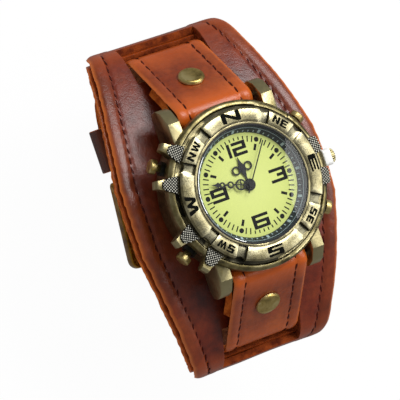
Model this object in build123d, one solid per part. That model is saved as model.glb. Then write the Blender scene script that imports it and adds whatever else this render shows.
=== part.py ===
from build123d import *
import math
import os

# A quartz cuff watch: a round compass-bezel case on a two-piece strap that dives through
# the slots of a wide two-layer leather cuff and closes below the wrist with a pin buckle.
# X points to 3 o'clock, Y to 12 o'clock and Z up out of the dial. The closed watch stands
# on the buckle bar and the keeper at Z = 0. All lengths are in millimetres.

# Driving sizes
wrist_width = 69.8
wrist_height = 40.6
leather = 1.8
cuff_outer_leather = 1.9
cuff_lining_leather = 1.5
case_depth = 10.4
case_radius = 20.0
strap_width = 20.0
buckle_strap_width = 18.0
cuff_width = 52.8

# Clearances shared by many pieces
overrun = 1.0
layer_gap = 0.1
seat_gap = 0.1
running_gap = 0.04
slide_gap = 0.2

# Stack of heights, from the surface that the watch stands on
keeper_wall = 1.5
tail_z = keeper_wall + slide_gap + leather / 2
flat_z = tail_z + leather + layer_gap
cuff_thickness = cuff_outer_leather + cuff_lining_leather
cuff_top_z = flat_z + leather / 2 + wrist_height + cuff_thickness
case_bottom_z = cuff_top_z + seat_gap
dial_z = case_bottom_z + case_depth

# Cuff: a wide arc, a shoulder at each strap slot and a short upright end
cuff_side_gap = 0.5
side_y = wrist_width / 2 + leather / 2
cuff_half_span = side_y + leather / 2 + cuff_side_gap + cuff_thickness
cuff_radius = 68.0
cuff_shoulder_radius = 8.0
cuff_end_drop = 1.0
cuff_corner_radius = 3.5
cuff_slot_width = 21.2
cuff_slot_near_y = 30.7
cuff_slot_far_tilt = 22.0
# Share of the way from the middle to the end of the cuff, and share of its half width there
cuff_outline_shares = [
    (0.0, 1.0), (0.17, 0.992), (0.35, 0.925), (0.48, 0.873), (0.60, 0.82),
    (0.72, 0.765), (0.82, 0.725), (0.91, 0.69), (1.0, 0.665),
]

# Strap
bar_inset = 0.3
bar_y = case_radius - bar_inset
bar_drop = 5.8
bar_radius = 0.75
bar_hole_radius = 1.0
strap_slope = 50.0
under_layer_length = 12.4
under_layer_join = 6.0
side_corner_radius = 18.0
dive_radius = 4.0
gentle_radius = 2.5
rivet_along = 9.6
rivet_cap_radius = 3.2
rivet_cap_height = 0.9
rivet_cap_round_share = 0.85
fold_round_share = 0.98
rivet_post_radius = 1.2
rivet_washer_radius = 2.2
rivet_washer_height = 0.25
taper_start_drop = 28.0
taper_end_drop = 50.0
tail_step_start_y = -7.0
tail_step_end_y = 1.0
tail_end_rise = 4.7
tail_tip_share = 0.25
tail_hole_radius = 1.3
tail_hole_pitch = 7.0
tail_hole_steps = (-2, -1, 1, 2)

# Buckle
hinge_y = 8.5
hinge_radius = 0.8
hinge_hole_radius = 0.95
return_join = 6.0
return_end_y = 19.5
frame_inner_width = 19.0
frame_bar_width = 2.3
frame_front_y = -12.4
frame_front_bar = 2.9
frame_end_radius = 1.6
frame_front_height = 2.7
frame_corner_radius = 2.2
tongue_width = 2.2
tongue_slot_width = 3.2
tongue_slot_end_y = 12.5
tongue_thickness = 1.5
tongue_ring_wall = 0.95
tongue_drop_y = 1.9
tongue_drop_run = 2.1
tongue_rise = 0.95
tongue_bend_radius = 1.0
tongue_hole_length = 4.8
tongue_hole_shift = 0.25
tongue_hole_width = 2.7
notch_width = 2.7
notch_play = 0.1
keeper_start_y = 12.9
keeper_length = 11.0
keeper_height = 9.8
keeper_side_gap = 0.4

# Case, with heights counted from the dial plane
body_inset = 0.4
body_radius = case_radius - body_inset
body_foot_inset = 1.0
body_foot_radius = body_radius - body_foot_inset
body_foot_rise = 1.4
flange_low = -2.5
flange_top = 0.9
flange_edge_radius = 1.05
flange_under_radius = 0.3
channel_outer_inset = 1.15
channel_width = 1.55
channel_slope_run = 0.4
channel_depth = 0.5
bezel_inset = 2.1
bezel_radius = case_radius - bezel_inset
bezel_width = 3.35
bezel_gap = 0.1
neck_radius = bezel_radius - bezel_width - bezel_gap
neck_top = 2.9
neck_wall = 0.45
crystal_bore_radius = neck_radius - neck_wall
crystal_low = 2.1
crystal_ledge = 0.25
cavity_radius = crystal_bore_radius - crystal_ledge
back_recess_step = 0.85
back_recess_radius = cavity_radius + back_recess_step
back_recess_depth = 1.1
back_step = 0.75
back_edge_width = 1.1
back_radius = back_recess_radius + back_edge_width
back_rim_wall = 0.45
back_gasket_inset = 0.3
back_gasket_radius = back_radius - back_gasket_inset
back_gasket_width = 0.55
back_gasket_inner = back_gasket_radius - back_gasket_width
back_gasket_height = 0.4
strap_clearance = 0.3
groove_outer_inset = 0.55
groove_outer_radius = case_radius - groove_outer_inset
groove_width = 0.75
groove_inner_radius = groove_outer_radius - groove_width
groove_depth = 0.35
# Clock angles where the sunk grooves of the flange start and end
flange_grooves = [(24.0, 51.0), (129.0, 168.0)]

# Lugs
lug_gap = 0.9
lug_inner_x = strap_width / 2 + lug_gap
lug_width = 2.9
lug_outer_x = lug_inner_x + lug_width
lug_reach = 3.3
lug_tip_y = bar_y + lug_reach
lug_root_y = 9.0
lug_top_drop = 0.9
lug_low_drop = 9.3
lug_edge_radius = 1.4
spring_bar_tip_radius = 0.4
spring_bar_tip_length = 1.0
# Share of the way from the lug's root to its tip, and share of its depth below its top
lug_shares = [(0.0, 0.0), (0.72, 0.0), (0.93, 0.33), (1.0, 0.66), (0.97, 0.92), (0.85, 1.0), (0.0, 1.0)]

# Knurled guards beside the pushers and, shorter and with no tip, beside the crown, at these clock angles
guard_angles = [310.0, 287.5, 251.5, 229.0]
crown_guard_angles = [78.5, 101.5]
guard_length = 3.7
guard_inner_radius = bezel_radius + seat_gap
guard_outer_radius = guard_inner_radius + guard_length
guard_inner_width = 4.2
guard_outer_width = 2.2
guard_thickness = 0.6
claw_root = 1.1
claw_start_radius = guard_inner_radius - claw_root
claw_tip_length = 1.6
claw_end_radius = guard_outer_radius + claw_tip_length
claw_tip_width = 1.8
claw_edge_radius = 0.8
claw_low = -2.0
crown_guard_length = 2.3
crown_guard_radius = guard_inner_radius + crown_guard_length
crown_guard_width = 3.6
crown_guard_corner = 0.5

# Bezel
bezel_low = 1.05
bezel_inner_top = 2.95
bezel_crest = 3.15
bezel_crest_inset = 0.6
bezel_outer_top = 2.9
bezel_edge = 0.4
bezel_notch_floor = 2.1
bezel_notch_width = 2.5
bezel_scallop_radius = 1.7
bezel_scallop_inset = 0.8
bezel_notch_angles = [30.0, 60.0, 120.0, 150.0, 210.0, 240.0, 300.0, 330.0]
ring_groove_low = 1.5
ring_groove_height = 0.5
ring_wire = 0.34
ring_groove_depth = 0.2
ring_opening = 20.0

# Crystal, chapter ring and dial
crystal_seat_width = 0.4
crystal_radius = crystal_bore_radius - crystal_seat_width
crystal_edge_top = 3.05
crystal_dome = 3.3
gasket_play = 0.02
chapter_width = 1.55
chapter_inner_radius = cavity_radius - chapter_width
chapter_top_inset = 0.25
chapter_foot = 0.1
dial_edge_gap = 0.25
dial_radius = cavity_radius - dial_edge_gap
dial_thickness = 0.4
dial_hole_radius = 1.05
dial_foot_radius = 0.35
dial_foot_length = 0.9
dial_foot_orbit = 10.2

# Hands
second_arbor_radius = 0.15
centre_tube_inner = 0.19
centre_tube_radius = 0.4
cannon_radius = 0.65
hour_tube_radius = 0.92
hand_boss_wall = 0.5
hand_thickness = 0.18
hour_hand_low = 0.3
minute_hand_low = 0.75
second_hand_low = 1.2
hand_boss_height = 0.3
hour_hand_short = 5.1
hour_hand_length = chapter_inner_radius - hour_hand_short
minute_hand_short = 2.4
minute_hand_length = chapter_inner_radius - minute_hand_short
second_hand_short = 1.4
second_hand_length = chapter_inner_radius - second_hand_short
second_hand_tail = 2.2
second_hand_width = 0.24
hour_hand_angle = 353.5
minute_hand_angle = 286.5
second_hand_angle = 36.0
hand_line = 0.36
# Hour hand: shares of its length for each loop's place along it, its radius and its place aside
hour_loop_shares = [(0.59, 0.15, 0.225), (0.59, 0.15, -0.225)]
# Minute hand: loops on the centre line, from the hub to the arrow, the first with a cross in it
minute_loop_shares = [(0.245, 0.135, 0.0), (0.505, 0.085, 0.0), (0.715, 0.07, 0.0)]
cross_line_share = 0.6
spine_start_share = 0.8
# Leaf or arrow at the end of a hand: shares of its length along it and of its half width
hour_leaf_shares = [(0.30, 0.035), (0.50, 0.095), (0.66, 0.105), (0.80, 0.04)]
minute_leaf_shares = [(0.76, 0.015), (0.82, 0.065), (0.88, 0.025)]

# Movement: heights below the dial plane
plate_ring_width = 2.25
plate_radius = cavity_radius - plate_ring_width
plate_top = -1.7
plate_thickness = 1.0
bridge_top = -4.8
bridge_thickness = 0.4
stem_level = -2.2
wheel_thickness = 0.2
pinion_height = 0.4
pinion_overlap = 0.1
arbor_radius = 0.18
arbor_bearing_radius = 0.22
addendum_share = 0.7
dedendum_share = 1.15
tooth_root_share = 0.2
tooth_tip_share = 0.1
centre_teeth, third_pinion_teeth = 64, 8
third_teeth, second_pinion_teeth = 60, 8
second_teeth, fifth_pinion_teeth = 40, 8
fifth_teeth, rotor_teeth = 36, 6
cannon_teeth, minute_wheel_teeth = 10, 30
minute_pinion_teeth, hour_teeth = 8, 32
setting_teeth = 20
centre_distance = 3.6
second_module = 0.15
fifth_module = 0.1
motion_module = 0.15
third_direction = 240.0
fifth_direction = 150.0
centre_wheel_low = -3.15
third_wheel_low = -3.6
second_wheel_low = -4.05
fifth_wheel_low = -4.5
minute_wheel_low = -1.5
hour_wheel_low = -1.0
rotor_magnet_radius = 0.8
rotor_magnet_low = -3.4
rotor_magnet_height = 0.6
stator_hole_radius = 0.95
stator_ring_radius = 1.3
stator_thickness = 0.6
coil_y = 8.0
coil_left_x = -6.0
coil_right_x = 2.4
coil_radius = 1.0
coil_core_radius = 0.28
stator_leg_share = 0.9
coil_end_gap = 0.9
battery_x = 5.2
battery_y = -5.2
battery_radius = 3.4
battery_low = -4.9
battery_thickness = 2.1
battery_step_share = 0.8
battery_cap_share = 0.85
battery_clip_width = 1.6
battery_clip_thickness = 0.25
battery_clip_overhang = 1.2
board_x = 5.2
board_y = 4.8
board_width = 5.4
board_length = 4.2
board_thickness = 0.3
quartz_radius = 0.75
quartz_length = 4.8
screw_radius = 0.4
screw_head_radius = 0.8
screw_head_height = 0.35
# Places of the screws as shares of the plate's radius
screw_place_shares = [(-0.748, -0.4), (-0.765, 0.174), (0.052, -0.8)]
holder_gap = 0.1
holder_inner_radius = plate_radius + holder_gap
holder_lip = 0.6
holder_lip_height = 0.5

# Crown, its stem and the stop clip that holds it out
stem_radius = 0.35
stem_start_x = 8.7
clutch_radius = 0.75
clutch_length = 1.1
crown_tube_radius = 1.3
crown_tube_depth = 3.5
crown_tube_start_x = case_radius - crown_tube_depth
crown_collar_length = 0.3
crown_tube_end_x = case_radius + crown_collar_length
crown_collar_radius = 1.9
stop_clip_thickness = 2.1
stop_clip_gap = 0.12
crown_start_x = crown_tube_end_x + stop_clip_thickness + 2 * stop_clip_gap
crown_length = 1.3
crown_end_x = crown_start_x + crown_length
crown_radius = 1.75
crown_edge_radius = 0.32
crown_flutes = 20
crown_flute_radius = 0.19
crown_pipe_radius = 0.88
crown_pipe_length = 4.7
crown_pipe_start_x = crown_start_x - crown_pipe_length
stem_inset = 0.8
stem_end_x = crown_start_x - stem_inset
crown_ring_inset = 0.6
crown_ring_x = crown_pipe_start_x + crown_ring_inset
crown_ring_width = 0.4
crown_ring_depth = 0.2
stop_clip_width = 4.0
stop_clip_edge_radius = 0.8
stop_clip_rise = 2.7
stop_clip_fall = 2.1
stop_clip_slot_play = 0.1

# Pushers at these clock angles
pusher_angles = {"2": 60.0, "4": 120.0, "8": 240.0, "10": 300.0}
pusher_level = -4.7
pusher_travel = 1.0
pusher_head_gap = 0.1
pusher_collar_length = 1.0
pusher_tube_end = body_radius + pusher_collar_length
pusher_tube_length = 3.6
pusher_tube_start = pusher_tube_end - pusher_tube_length
pusher_head_radius = 1.75
pusher_head_length = 1.5
pusher_head_start = pusher_tube_end + pusher_travel + pusher_head_gap
pusher_head_end = pusher_head_start + pusher_head_length
pusher_head_round = 0.4
pusher_neck_radius = 0.88
pusher_neck_depth = 1.4
pusher_shoulder = pusher_tube_end - pusher_neck_depth
pusher_stem_radius = 0.55
pusher_groove_radius = 0.385
pusher_stem_overhang = 1.1
pusher_stem_end = pusher_tube_start - pusher_stem_overhang
pusher_tube_radius = 1.35
pusher_tube_floor = 0.3
pusher_collar_radius = 1.7
pusher_ring_radius = 1.1
pusher_ring_thickness = 0.3
pusher_pocket_radius = 1.35
spring_wall = 0.2
spring_play = 0.05

# Places worked out from the sizes above
bar_z = dial_z - bar_drop
fold_radius = bar_hole_radius + leather / 2
hinge_fold_radius = hinge_hole_radius + leather / 2
hinge_z = flat_z + hinge_fold_radius
return_z = flat_z + leather + layer_gap
under_layer_level = fold_radius - leather - layer_gap
crystal_z = dial_z + crystal_low
stem_z = dial_z + stem_level
pusher_z = dial_z + pusher_level
back_top_z = case_bottom_z + back_step
third_module = 2 * centre_distance / (third_teeth + second_pinion_teeth)
centre_module = 2 * centre_distance / (centre_teeth + third_pinion_teeth)
fifth_distance = second_module * (second_teeth + fifth_pinion_teeth) / 2
rotor_distance = fifth_module * (fifth_teeth + rotor_teeth) / 2
motion_distance = motion_module * (cannon_teeth + minute_wheel_teeth) / 2
setting_distance = motion_module * (minute_wheel_teeth + setting_teeth) / 2
bridge_z = dial_z + bridge_top
plate_z = dial_z + plate_top
plate_low_z = plate_z - plate_thickness
stator_z = plate_low_z - stator_thickness
bezel_bore = neck_radius + bezel_gap

# The cuff's shoulder arcs touch its wide arc at this tilt from the vertical
cuff_centre_z = cuff_top_z - cuff_radius
shoulder_y = cuff_half_span - cuff_shoulder_radius
shoulder_tilt = math.degrees(math.asin(shoulder_y / (cuff_radius - cuff_shoulder_radius)))
shoulder_z = cuff_centre_z + (cuff_radius - cuff_shoulder_radius) * math.cos(math.radians(shoulder_tilt))
cuff_end_z = shoulder_z - cuff_end_drop
cuff_wide_length = cuff_radius * math.radians(shoulder_tilt)
cuff_shoulder_length = cuff_shoulder_radius * math.radians(90 - shoulder_tilt)
cuff_half_length = cuff_wide_length + cuff_shoulder_length + cuff_end_drop


def polar(radius, degrees, x=0, y=0):
    """Point at a radius and an angle from the X axis, about a centre."""
    angle = math.radians(degrees)
    return (x + radius * math.cos(angle), y + radius * math.sin(angle))


def at_clock(shape, clock):
    """Turn a shape that was built along X to a clock angle on the dial."""
    return Rot(0, 0, 90 - clock) * shape


def disc(radius, low, high, x=0, y=0):
    """Upright cylinder between two heights."""
    return Pos(x, y, low) * Cylinder(radius, high - low, align=(Align.CENTER, Align.CENTER, Align.MIN))


def ring(outer, inner, low, high, x=0, y=0):
    """Upright tube between two heights."""
    return disc(outer, low, high, x, y) - disc(inner, low - overrun, high + overrun, x, y)


def rod(radius, start, end, z=0):
    """Cylinder along X between two places, at a height."""
    turned = Rot(0, 90, 0) * Cylinder(radius, end - start, align=(Align.CENTER, Align.CENTER, Align.MIN))
    return Pos(start, 0, z) * turned


def block(x_low, x_high, y_low, y_high, z_low, z_high):
    """Box between two corners."""
    box = Box(x_high - x_low, y_high - y_low, z_high - z_low, align=(Align.MIN, Align.MIN, Align.MIN))
    return Pos(x_low, y_low, z_low) * box


def turned(points):
    """Solid of revolution about the dial's axis from (radius, height) points."""
    return revolve(Plane.XZ * Polygon(*points, align=None), Axis.Z)


def side_prism(face, width):
    """A face drawn in Y and Z, given its width along X about the middle."""
    return extrude(Plane.YZ * face, amount=width / 2, both=True)


def front_prism(face, length):
    """A face drawn in X and Z, given its length along Y about the middle."""
    return extrude(Plane.XZ * face, amount=length / 2, both=True)


def flat_piece(face, low, high, x=0, y=0):
    """A face drawn in X and Y, given its thickness between two heights."""
    return Pos(x, y, low) * extrude(face, amount=high - low, dir=(0, 0, 1))


def bent_band(points, radii, width, thickness):
    """A strip of even thickness that follows rounded corners in Y and Z."""
    path = Plane.YZ * FilletPolyline(*points, radius=radii)
    section = Plane(path @ 0, x_dir=(1, 0, 0), z_dir=path % 0) * Rectangle(width, thickness)
    return sweep(section, path=path)


def both_ends(shape):
    """The shape and its mirror image across the dial's 3 to 9 o'clock line."""
    return [shape, mirror(shape, about=Plane.XZ)]


def gear(teeth, module, low, x, y, phase, height=wheel_thickness):
    """Toothed disc whose first tooth points at the phase angle."""
    pitch_radius = module * teeth / 2
    tip = pitch_radius + addendum_share * module
    root = pitch_radius - dedendum_share * module
    corners = [
        (-tooth_root_share, root), (-tooth_tip_share, tip), (tooth_tip_share, tip), (tooth_root_share, root),
    ]
    pitch = 360 / teeth
    outline = [
        polar(radius, phase + pitch * (tooth + share)) for tooth in range(teeth) for share, radius in corners
    ]
    return flat_piece(Polygon(*outline, align=None), dial_z + low, dial_z + low + height, x, y)


# Cuff

def cuff_edges(depth):
    """Line of the cuff's section at a depth under its outer face."""
    reach = cuff_half_span - depth
    shoulder = cuff_shoulder_radius - depth
    wide = cuff_radius - depth
    turn = 90 - shoulder_tilt
    return [
        Line((reach, cuff_end_z), (reach, shoulder_z)),
        CenterArc((shoulder_y, shoulder_z), shoulder, 0, turn),
        CenterArc((0, cuff_centre_z), wide, turn, 2 * shoulder_tilt),
        CenterArc((-shoulder_y, shoulder_z), shoulder, 90 + shoulder_tilt, turn),
        Line((-reach, shoulder_z), (-reach, cuff_end_z)),
    ]


def cuff_height(along):
    """Height of the cuff's outer face at a length along it from the middle."""
    if along <= cuff_wide_length:
        return cuff_centre_z + cuff_radius * math.cos(along / cuff_radius)
    past = along - cuff_wide_length
    if past <= cuff_shoulder_length:
        turned_angle = math.radians(90 - shoulder_tilt) - past / cuff_shoulder_radius
        return shoulder_z + cuff_shoulder_radius * math.sin(turned_angle)
    return shoulder_z - (past - cuff_shoulder_length)


def cuff_outline():
    """Front view of the cuff, widest under the case and narrow at its ends."""
    half = cuff_width / 2
    right = [
        (half * width_share, cuff_height(cuff_half_length * along_share))
        for along_share, width_share in cuff_outline_shares
    ]
    left = [(-x, z) for x, z in reversed(right)]
    top = cuff_top_z + overrun
    edges = [
        Spline(*right),
        Line(right[-1], left[0]),
        Spline(*left),
        Line(left[-1], (-half, top)),
        Line((-half, top), (half, top)),
        Line((half, top), right[0]),
    ]
    face = make_face(edges)
    return fillet(face.vertices().group_by(Axis.Y)[0], cuff_corner_radius)


def cuff_slot():
    """Tool for the slot that the strap dives through at the 12 o'clock end."""
    near = math.degrees(math.asin(cuff_slot_near_y / cuff_radius))
    outline = []
    for depth in (-overrun, cuff_thickness + overrun):
        wide = cuff_radius - depth
        shoulder = cuff_shoulder_radius - depth
        stretch = [
            polar(wide, 90 - near, 0, cuff_centre_z),
            polar(wide, 90 - shoulder_tilt, 0, cuff_centre_z),
            polar(shoulder, cuff_slot_far_tilt, shoulder_y, shoulder_z),
        ]
        outline += stretch if depth < 0 else reversed(stretch)
    return side_prism(Polygon(*outline, align=None), cuff_slot_width)


def cuff_layer(outer_depth, inner_depth):
    outer = cuff_edges(outer_depth)
    inner = cuff_edges(inner_depth)
    ends = [Line(outer[0] @ 0, inner[0] @ 0), Line(outer[-1] @ 1, inner[-1] @ 1)]
    band = side_prism(make_face(outer + inner + ends), cuff_width)
    layer = band & front_prism(cuff_outline(), 2 * cuff_half_span + overrun)
    for slot in both_ends(cuff_slot()):
        layer -= slot
    return layer


# Strap

def slope_point(along, above):
    """Point of the sloping stretch beside the case, from the spring bar's axis."""
    slope = math.radians(strap_slope)
    y = bar_y + along * math.cos(slope) + above * math.sin(slope)
    z = bar_z - along * math.sin(slope) + above * math.cos(slope)
    return (y, z)


def slope_plane(along, above, end=1):
    """Plane on the sloping stretch whose Z leaves the leather, at either end of the case."""
    slope = math.radians(strap_slope)
    y, z = slope_point(along, above)
    return Plane((0, end * y, z), x_dir=(1, 0, 0), z_dir=(0, end * math.sin(slope), math.cos(slope)))


def strap_start():
    """Middle line of the folded end: under layer, turn round the spring bar, upper layer."""
    upper_at_side = (side_y - slope_point(0, fold_radius)[0]) / math.cos(math.radians(strap_slope))
    points = [
        slope_point(under_layer_length, under_layer_level),
        slope_point(under_layer_join, under_layer_level),
        slope_point(bar_radius, -fold_radius),
        slope_point(-fold_radius, -fold_radius),
        slope_point(-fold_radius, fold_radius),
        slope_point(upper_at_side, fold_radius),
    ]
    turn = fold_radius * fold_round_share
    radii = [gentle_radius, gentle_radius, turn, turn, dive_radius]
    return points, radii


def strap_outline():
    """Front view of the strap, which tapers below the cuff."""
    wide = strap_width / 2
    narrow = buckle_strap_width / 2
    top = dial_z
    start = dial_z - taper_start_drop
    end = dial_z - taper_end_drop
    right = [(wide, top), (wide, start), (narrow, end), (narrow, -overrun)]
    left = [(-x, z) for x, z in reversed(right)]
    return front_prism(Polygon(*right, *left, align=None), 2 * cuff_half_span)


def rivet_hole(end):
    plane = slope_plane(rivet_along, fold_radius + leather / 2 + overrun, end)
    depth = 2 * leather + layer_gap + 2 * overrun
    return extrude(plane * Circle(rivet_post_radius), amount=-depth)


def buckle_strap():
    """12 o'clock half: folded round the spring bar and round the buckle's hinge pin."""
    points, radii = strap_start()
    turn_y = hinge_y - hinge_fold_radius
    points += [
        (side_y, flat_z),
        (turn_y, flat_z),
        (turn_y, flat_z + 2 * hinge_fold_radius),
        (hinge_y + bar_radius, flat_z + 2 * hinge_fold_radius),
        (hinge_y + return_join, return_z),
        (return_end_y, return_z),
    ]
    turn = hinge_fold_radius * fold_round_share
    radii += [side_corner_radius, turn, turn, gentle_radius, gentle_radius]
    strap = bent_band(points, radii, strap_width, leather) & strap_outline()
    half_slot = tongue_slot_width / 2
    low = flat_z - leather / 2 - overrun
    high = flat_z + 2 * hinge_fold_radius + leather / 2 + overrun
    strap -= block(-half_slot, half_slot, turn_y - leather, tongue_slot_end_y, low, high)
    return strap - rivet_hole(1)


def tail_hole_places():
    """Y of the hole that the tongue uses, and of the others."""
    used = tongue_drop_y - tongue_drop_run / 2 + tongue_hole_shift
    return used, [used + tail_hole_pitch * step for step in tail_hole_steps]


def tail_strap():
    """6 o'clock half: passes behind the buckle's front bar and out over its folded end."""
    start, radii = strap_start()
    points = [(-y, z) for y, z in start]
    outside = leather + layer_gap
    points += [
        (-side_y, flat_z),
        (tail_step_start_y, flat_z),
        (tail_step_end_y, tail_z),
        (side_y + outside, tail_z),
        (side_y + outside, flat_z + side_corner_radius + leather),
    ]
    radii += [side_corner_radius, gentle_radius, gentle_radius, side_corner_radius + outside]
    strap = bent_band(points, radii, strap_width, leather) & strap_outline()
    half_width, tip_length = buckle_strap_width / 2, buckle_strap_width * tail_tip_share
    tip_z = flat_z + tail_end_rise - tip_length
    spare = block(-strap_width, strap_width, hinge_y, cuff_half_span, tip_z, dial_z)
    tip = Plane.XZ * Pos(0, tip_z) * Ellipse(half_width, tip_length)
    strap -= spare - extrude(tip, amount=-cuff_half_span)
    used, others = tail_hole_places()
    low = tail_z - leather
    high = flat_z + leather
    slot = SlotOverall(tongue_hole_length, tongue_hole_width, rotation=90)
    strap -= flat_piece(slot, low, high, 0, used)
    for y in others:
        strap -= disc(tail_hole_radius, low, high, 0, y)
    return strap - rivet_hole(-1)


def rivet_cap(end):
    plane = slope_plane(rivet_along, fold_radius + leather / 2, end)
    cap = Cylinder(rivet_cap_radius, rivet_cap_height, align=(Align.CENTER, Align.CENTER, Align.MIN))
    cap = fillet(cap.edges().group_by(Axis.Z)[-1], rivet_cap_height * rivet_cap_round_share)
    return plane.location * cap


def rivet_post(end):
    length = 2 * leather + layer_gap
    plane = slope_plane(rivet_along, fold_radius + leather / 2 - length, end)
    post = Cylinder(rivet_post_radius, length, align=(Align.CENTER, Align.CENTER, Align.MIN))
    washer = Cylinder(rivet_washer_radius, rivet_washer_height, align=(Align.CENTER, Align.CENTER, Align.MAX))
    return plane.location * (post + washer)


def spring_bar(end):
    half = lug_inner_x - layer_gap
    reach = lug_inner_x + spring_bar_tip_length
    bar = rod(bar_radius, -half, half) + rod(spring_bar_tip_radius, -reach, reach)
    return Pos(0, end * bar_y, bar_z) * bar


# Buckle and keeper

def buckle_frame():
    """Two side bars and a flat front bar, with ears for the hinge pin."""
    front = frame_front_y
    back_of_bar = front + frame_front_bar
    outline = Polygon(
        (hinge_y, hinge_z + frame_end_radius),
        (front, frame_front_height),
        (front, 0),
        (back_of_bar, 0),
        (hinge_y, hinge_z - frame_end_radius),
        align=None,
    )
    width = frame_inner_width + 2 * frame_bar_width
    frame = side_prism(outline, width) + Pos(0, hinge_y, hinge_z) * rod(frame_end_radius, -width / 2, width / 2)
    corners = frame.edges().filter_by(Axis.Z).group_by(Axis.Y)[0]
    frame = fillet(corners, frame_corner_radius)
    half = frame_inner_width / 2
    high = hinge_z + frame_end_radius + overrun
    frame -= block(-half, half, back_of_bar, hinge_y + frame_end_radius + overrun, -overrun, high)
    half_notch = notch_width / 2
    notch_top = tongue_thickness + 2 * notch_play
    frame -= block(-half_notch, half_notch, front - overrun, back_of_bar + overrun, -overrun, notch_top)
    return frame - Pos(0, hinge_y, hinge_z) * rod(hinge_radius, -width, width)


def hinge_pin():
    half = frame_inner_width / 2 + frame_bar_width
    return Pos(0, hinge_y, hinge_z) * rod(hinge_radius, -half, half)


def buckle_tongue():
    """Bent pin that turns on the hinge pin, drops through the tail and rests in the notch."""
    level = hinge_z - tongue_rise
    low = tongue_thickness / 2 + notch_play / 2
    points = [
        (hinge_y, level),
        (tongue_drop_y, level),
        (tongue_drop_y - tongue_drop_run, low),
        (frame_front_y + notch_play, low),
    ]
    arm = bent_band(points, tongue_bend_radius, tongue_width, tongue_thickness)
    half = tongue_width / 2
    outer = hinge_radius + running_gap + tongue_ring_wall
    eye = rod(outer, -half, half)
    arm += Pos(0, hinge_y, hinge_z) * eye
    return arm - Pos(0, hinge_y, hinge_z) * rod(hinge_radius + running_gap, -strap_width, strap_width)


def keeper():
    """Free leather loop round the tail and the buckle half."""
    inner = buckle_strap_width / 2 + keeper_side_gap
    outer = inner + keeper_wall
    end = keeper_start_y + keeper_length
    loop = block(-outer, outer, keeper_start_y, end, 0, keeper_height)
    loop = fillet(loop.edges().filter_by(Axis.Y), keeper_wall)
    cavity = block(-inner, inner, keeper_start_y - overrun, end + overrun, keeper_wall, keeper_height - keeper_wall)
    return loop - cavity


# Case

def case_shell():
    """Turned middle case with its flange, the crystal's neck and the cavity."""
    foot = case_bottom_z + back_step
    top = dial_z + flange_top
    channel_outer = case_radius - channel_outer_inset
    channel_inner = channel_outer - channel_width
    points = [
        (back_recess_radius, foot),
        (body_foot_radius, foot),
        (body_radius, foot + body_foot_rise),
        (body_radius, dial_z + flange_low),
        (case_radius, dial_z + flange_low),
        (case_radius, top),
        (channel_outer, top),
        (channel_outer - channel_slope_run, top - channel_depth),
        (channel_inner, top - channel_depth),
        (channel_inner, top),
        (neck_radius, top),
        (neck_radius, dial_z + neck_top),
        (crystal_bore_radius, dial_z + neck_top),
        (crystal_bore_radius, crystal_z),
        (cavity_radius, crystal_z),
        (cavity_radius, foot + back_recess_depth),
        (back_recess_radius, foot + back_recess_depth),
    ]
    face = Polygon(*points, align=None)
    rim = face.vertices().group_by(Axis.X)[-1].sort_by(Axis.Y)
    face = fillet(rim[-1], flange_edge_radius)
    rim = face.vertices().group_by(Axis.X)[-1].sort_by(Axis.Y)
    return revolve(Plane.XZ * fillet(rim[0], flange_under_radius), Axis.Z)


def lug_pair():
    """Both lugs of the 12 o'clock end."""
    length = lug_tip_y - lug_root_y
    depth = lug_low_drop - lug_top_drop
    top = dial_z - lug_top_drop
    outline = Polygon(*[(lug_root_y + length * a, top - depth * b) for a, b in lug_shares], align=None)
    lugs = side_prism(outline, 2 * lug_outer_x)
    tips = lugs.edges().filter_by(Axis.X).group_by(Axis.Y)[-1]
    lugs = fillet(tips, lug_edge_radius)
    gap = block(-lug_inner_x, lug_inner_x, 0, lug_tip_y + overrun, 0, dial_z + overrun)
    lugs -= gap
    reach = lug_inner_x + spring_bar_tip_length + layer_gap
    return lugs - Pos(0, bar_y, bar_z) * rod(spring_bar_tip_radius + running_gap, -reach, reach)


def strap_room():
    """Room between the lugs for the folded strap of the 12 o'clock end."""
    room_radius = fold_radius + leather / 2 + strap_clearance
    room = Pos(0, bar_y, bar_z) * rod(room_radius, -lug_inner_x, lug_inner_x)
    low = case_bottom_z - overrun
    far = case_radius + overrun
    room += block(-lug_inner_x, lug_inner_x, bar_y, far, low, bar_z + room_radius)
    return room + block(-lug_inner_x, lug_inner_x, bar_y - room_radius, far, low, bar_z)


def claw():
    """Brass arm of one guard, built along X: it carries the knurled plate and ends in a blunt tip."""
    root, neck, tip = guard_inner_width / 2, guard_outer_width / 2, claw_tip_width / 2
    one_side = [
        (claw_start_radius, root), (guard_inner_radius, root), (guard_outer_radius, neck), (claw_end_radius, tip),
    ]
    other_side = [(x, -y) for x, y in reversed(one_side)]
    arm = flat_piece(Polygon(*one_side, *other_side, align=None), dial_z + claw_low, dial_z + flange_top)
    return fillet(arm.edges().filter_by(Axis.Y).group_by(Axis.X)[-1], claw_edge_radius)


def crown_guard(start, low, high):
    """Stub of one guard beside the crown, or its plate, built along X with rounded outer corners."""
    inner, outer = guard_inner_width / 2, crown_guard_width / 2
    outline = [(start, -inner), (guard_inner_radius, -inner), (crown_guard_radius, -outer)]
    outline += [(x, -y) for x, y in reversed(outline)]
    stub = flat_piece(Polygon(*outline, align=None), low, high)
    return fillet(stub.edges().filter_by(Axis.Z).group_by(Axis.X)[-1], crown_guard_corner)


def flange_groove(start, end):
    """Sunk groove in the flange between two clock angles."""
    top = dial_z + flange_top
    section = Plane.XZ * Polygon(
        (groove_inner_radius, top - groove_depth),
        (groove_outer_radius, top - groove_depth),
        (groove_outer_radius, top + overrun),
        (groove_inner_radius, top + overrun),
        align=None,
    )
    return Rot(0, 0, 90 - end) * revolve(section, Axis.Z, revolution_arc=end - start)


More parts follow.
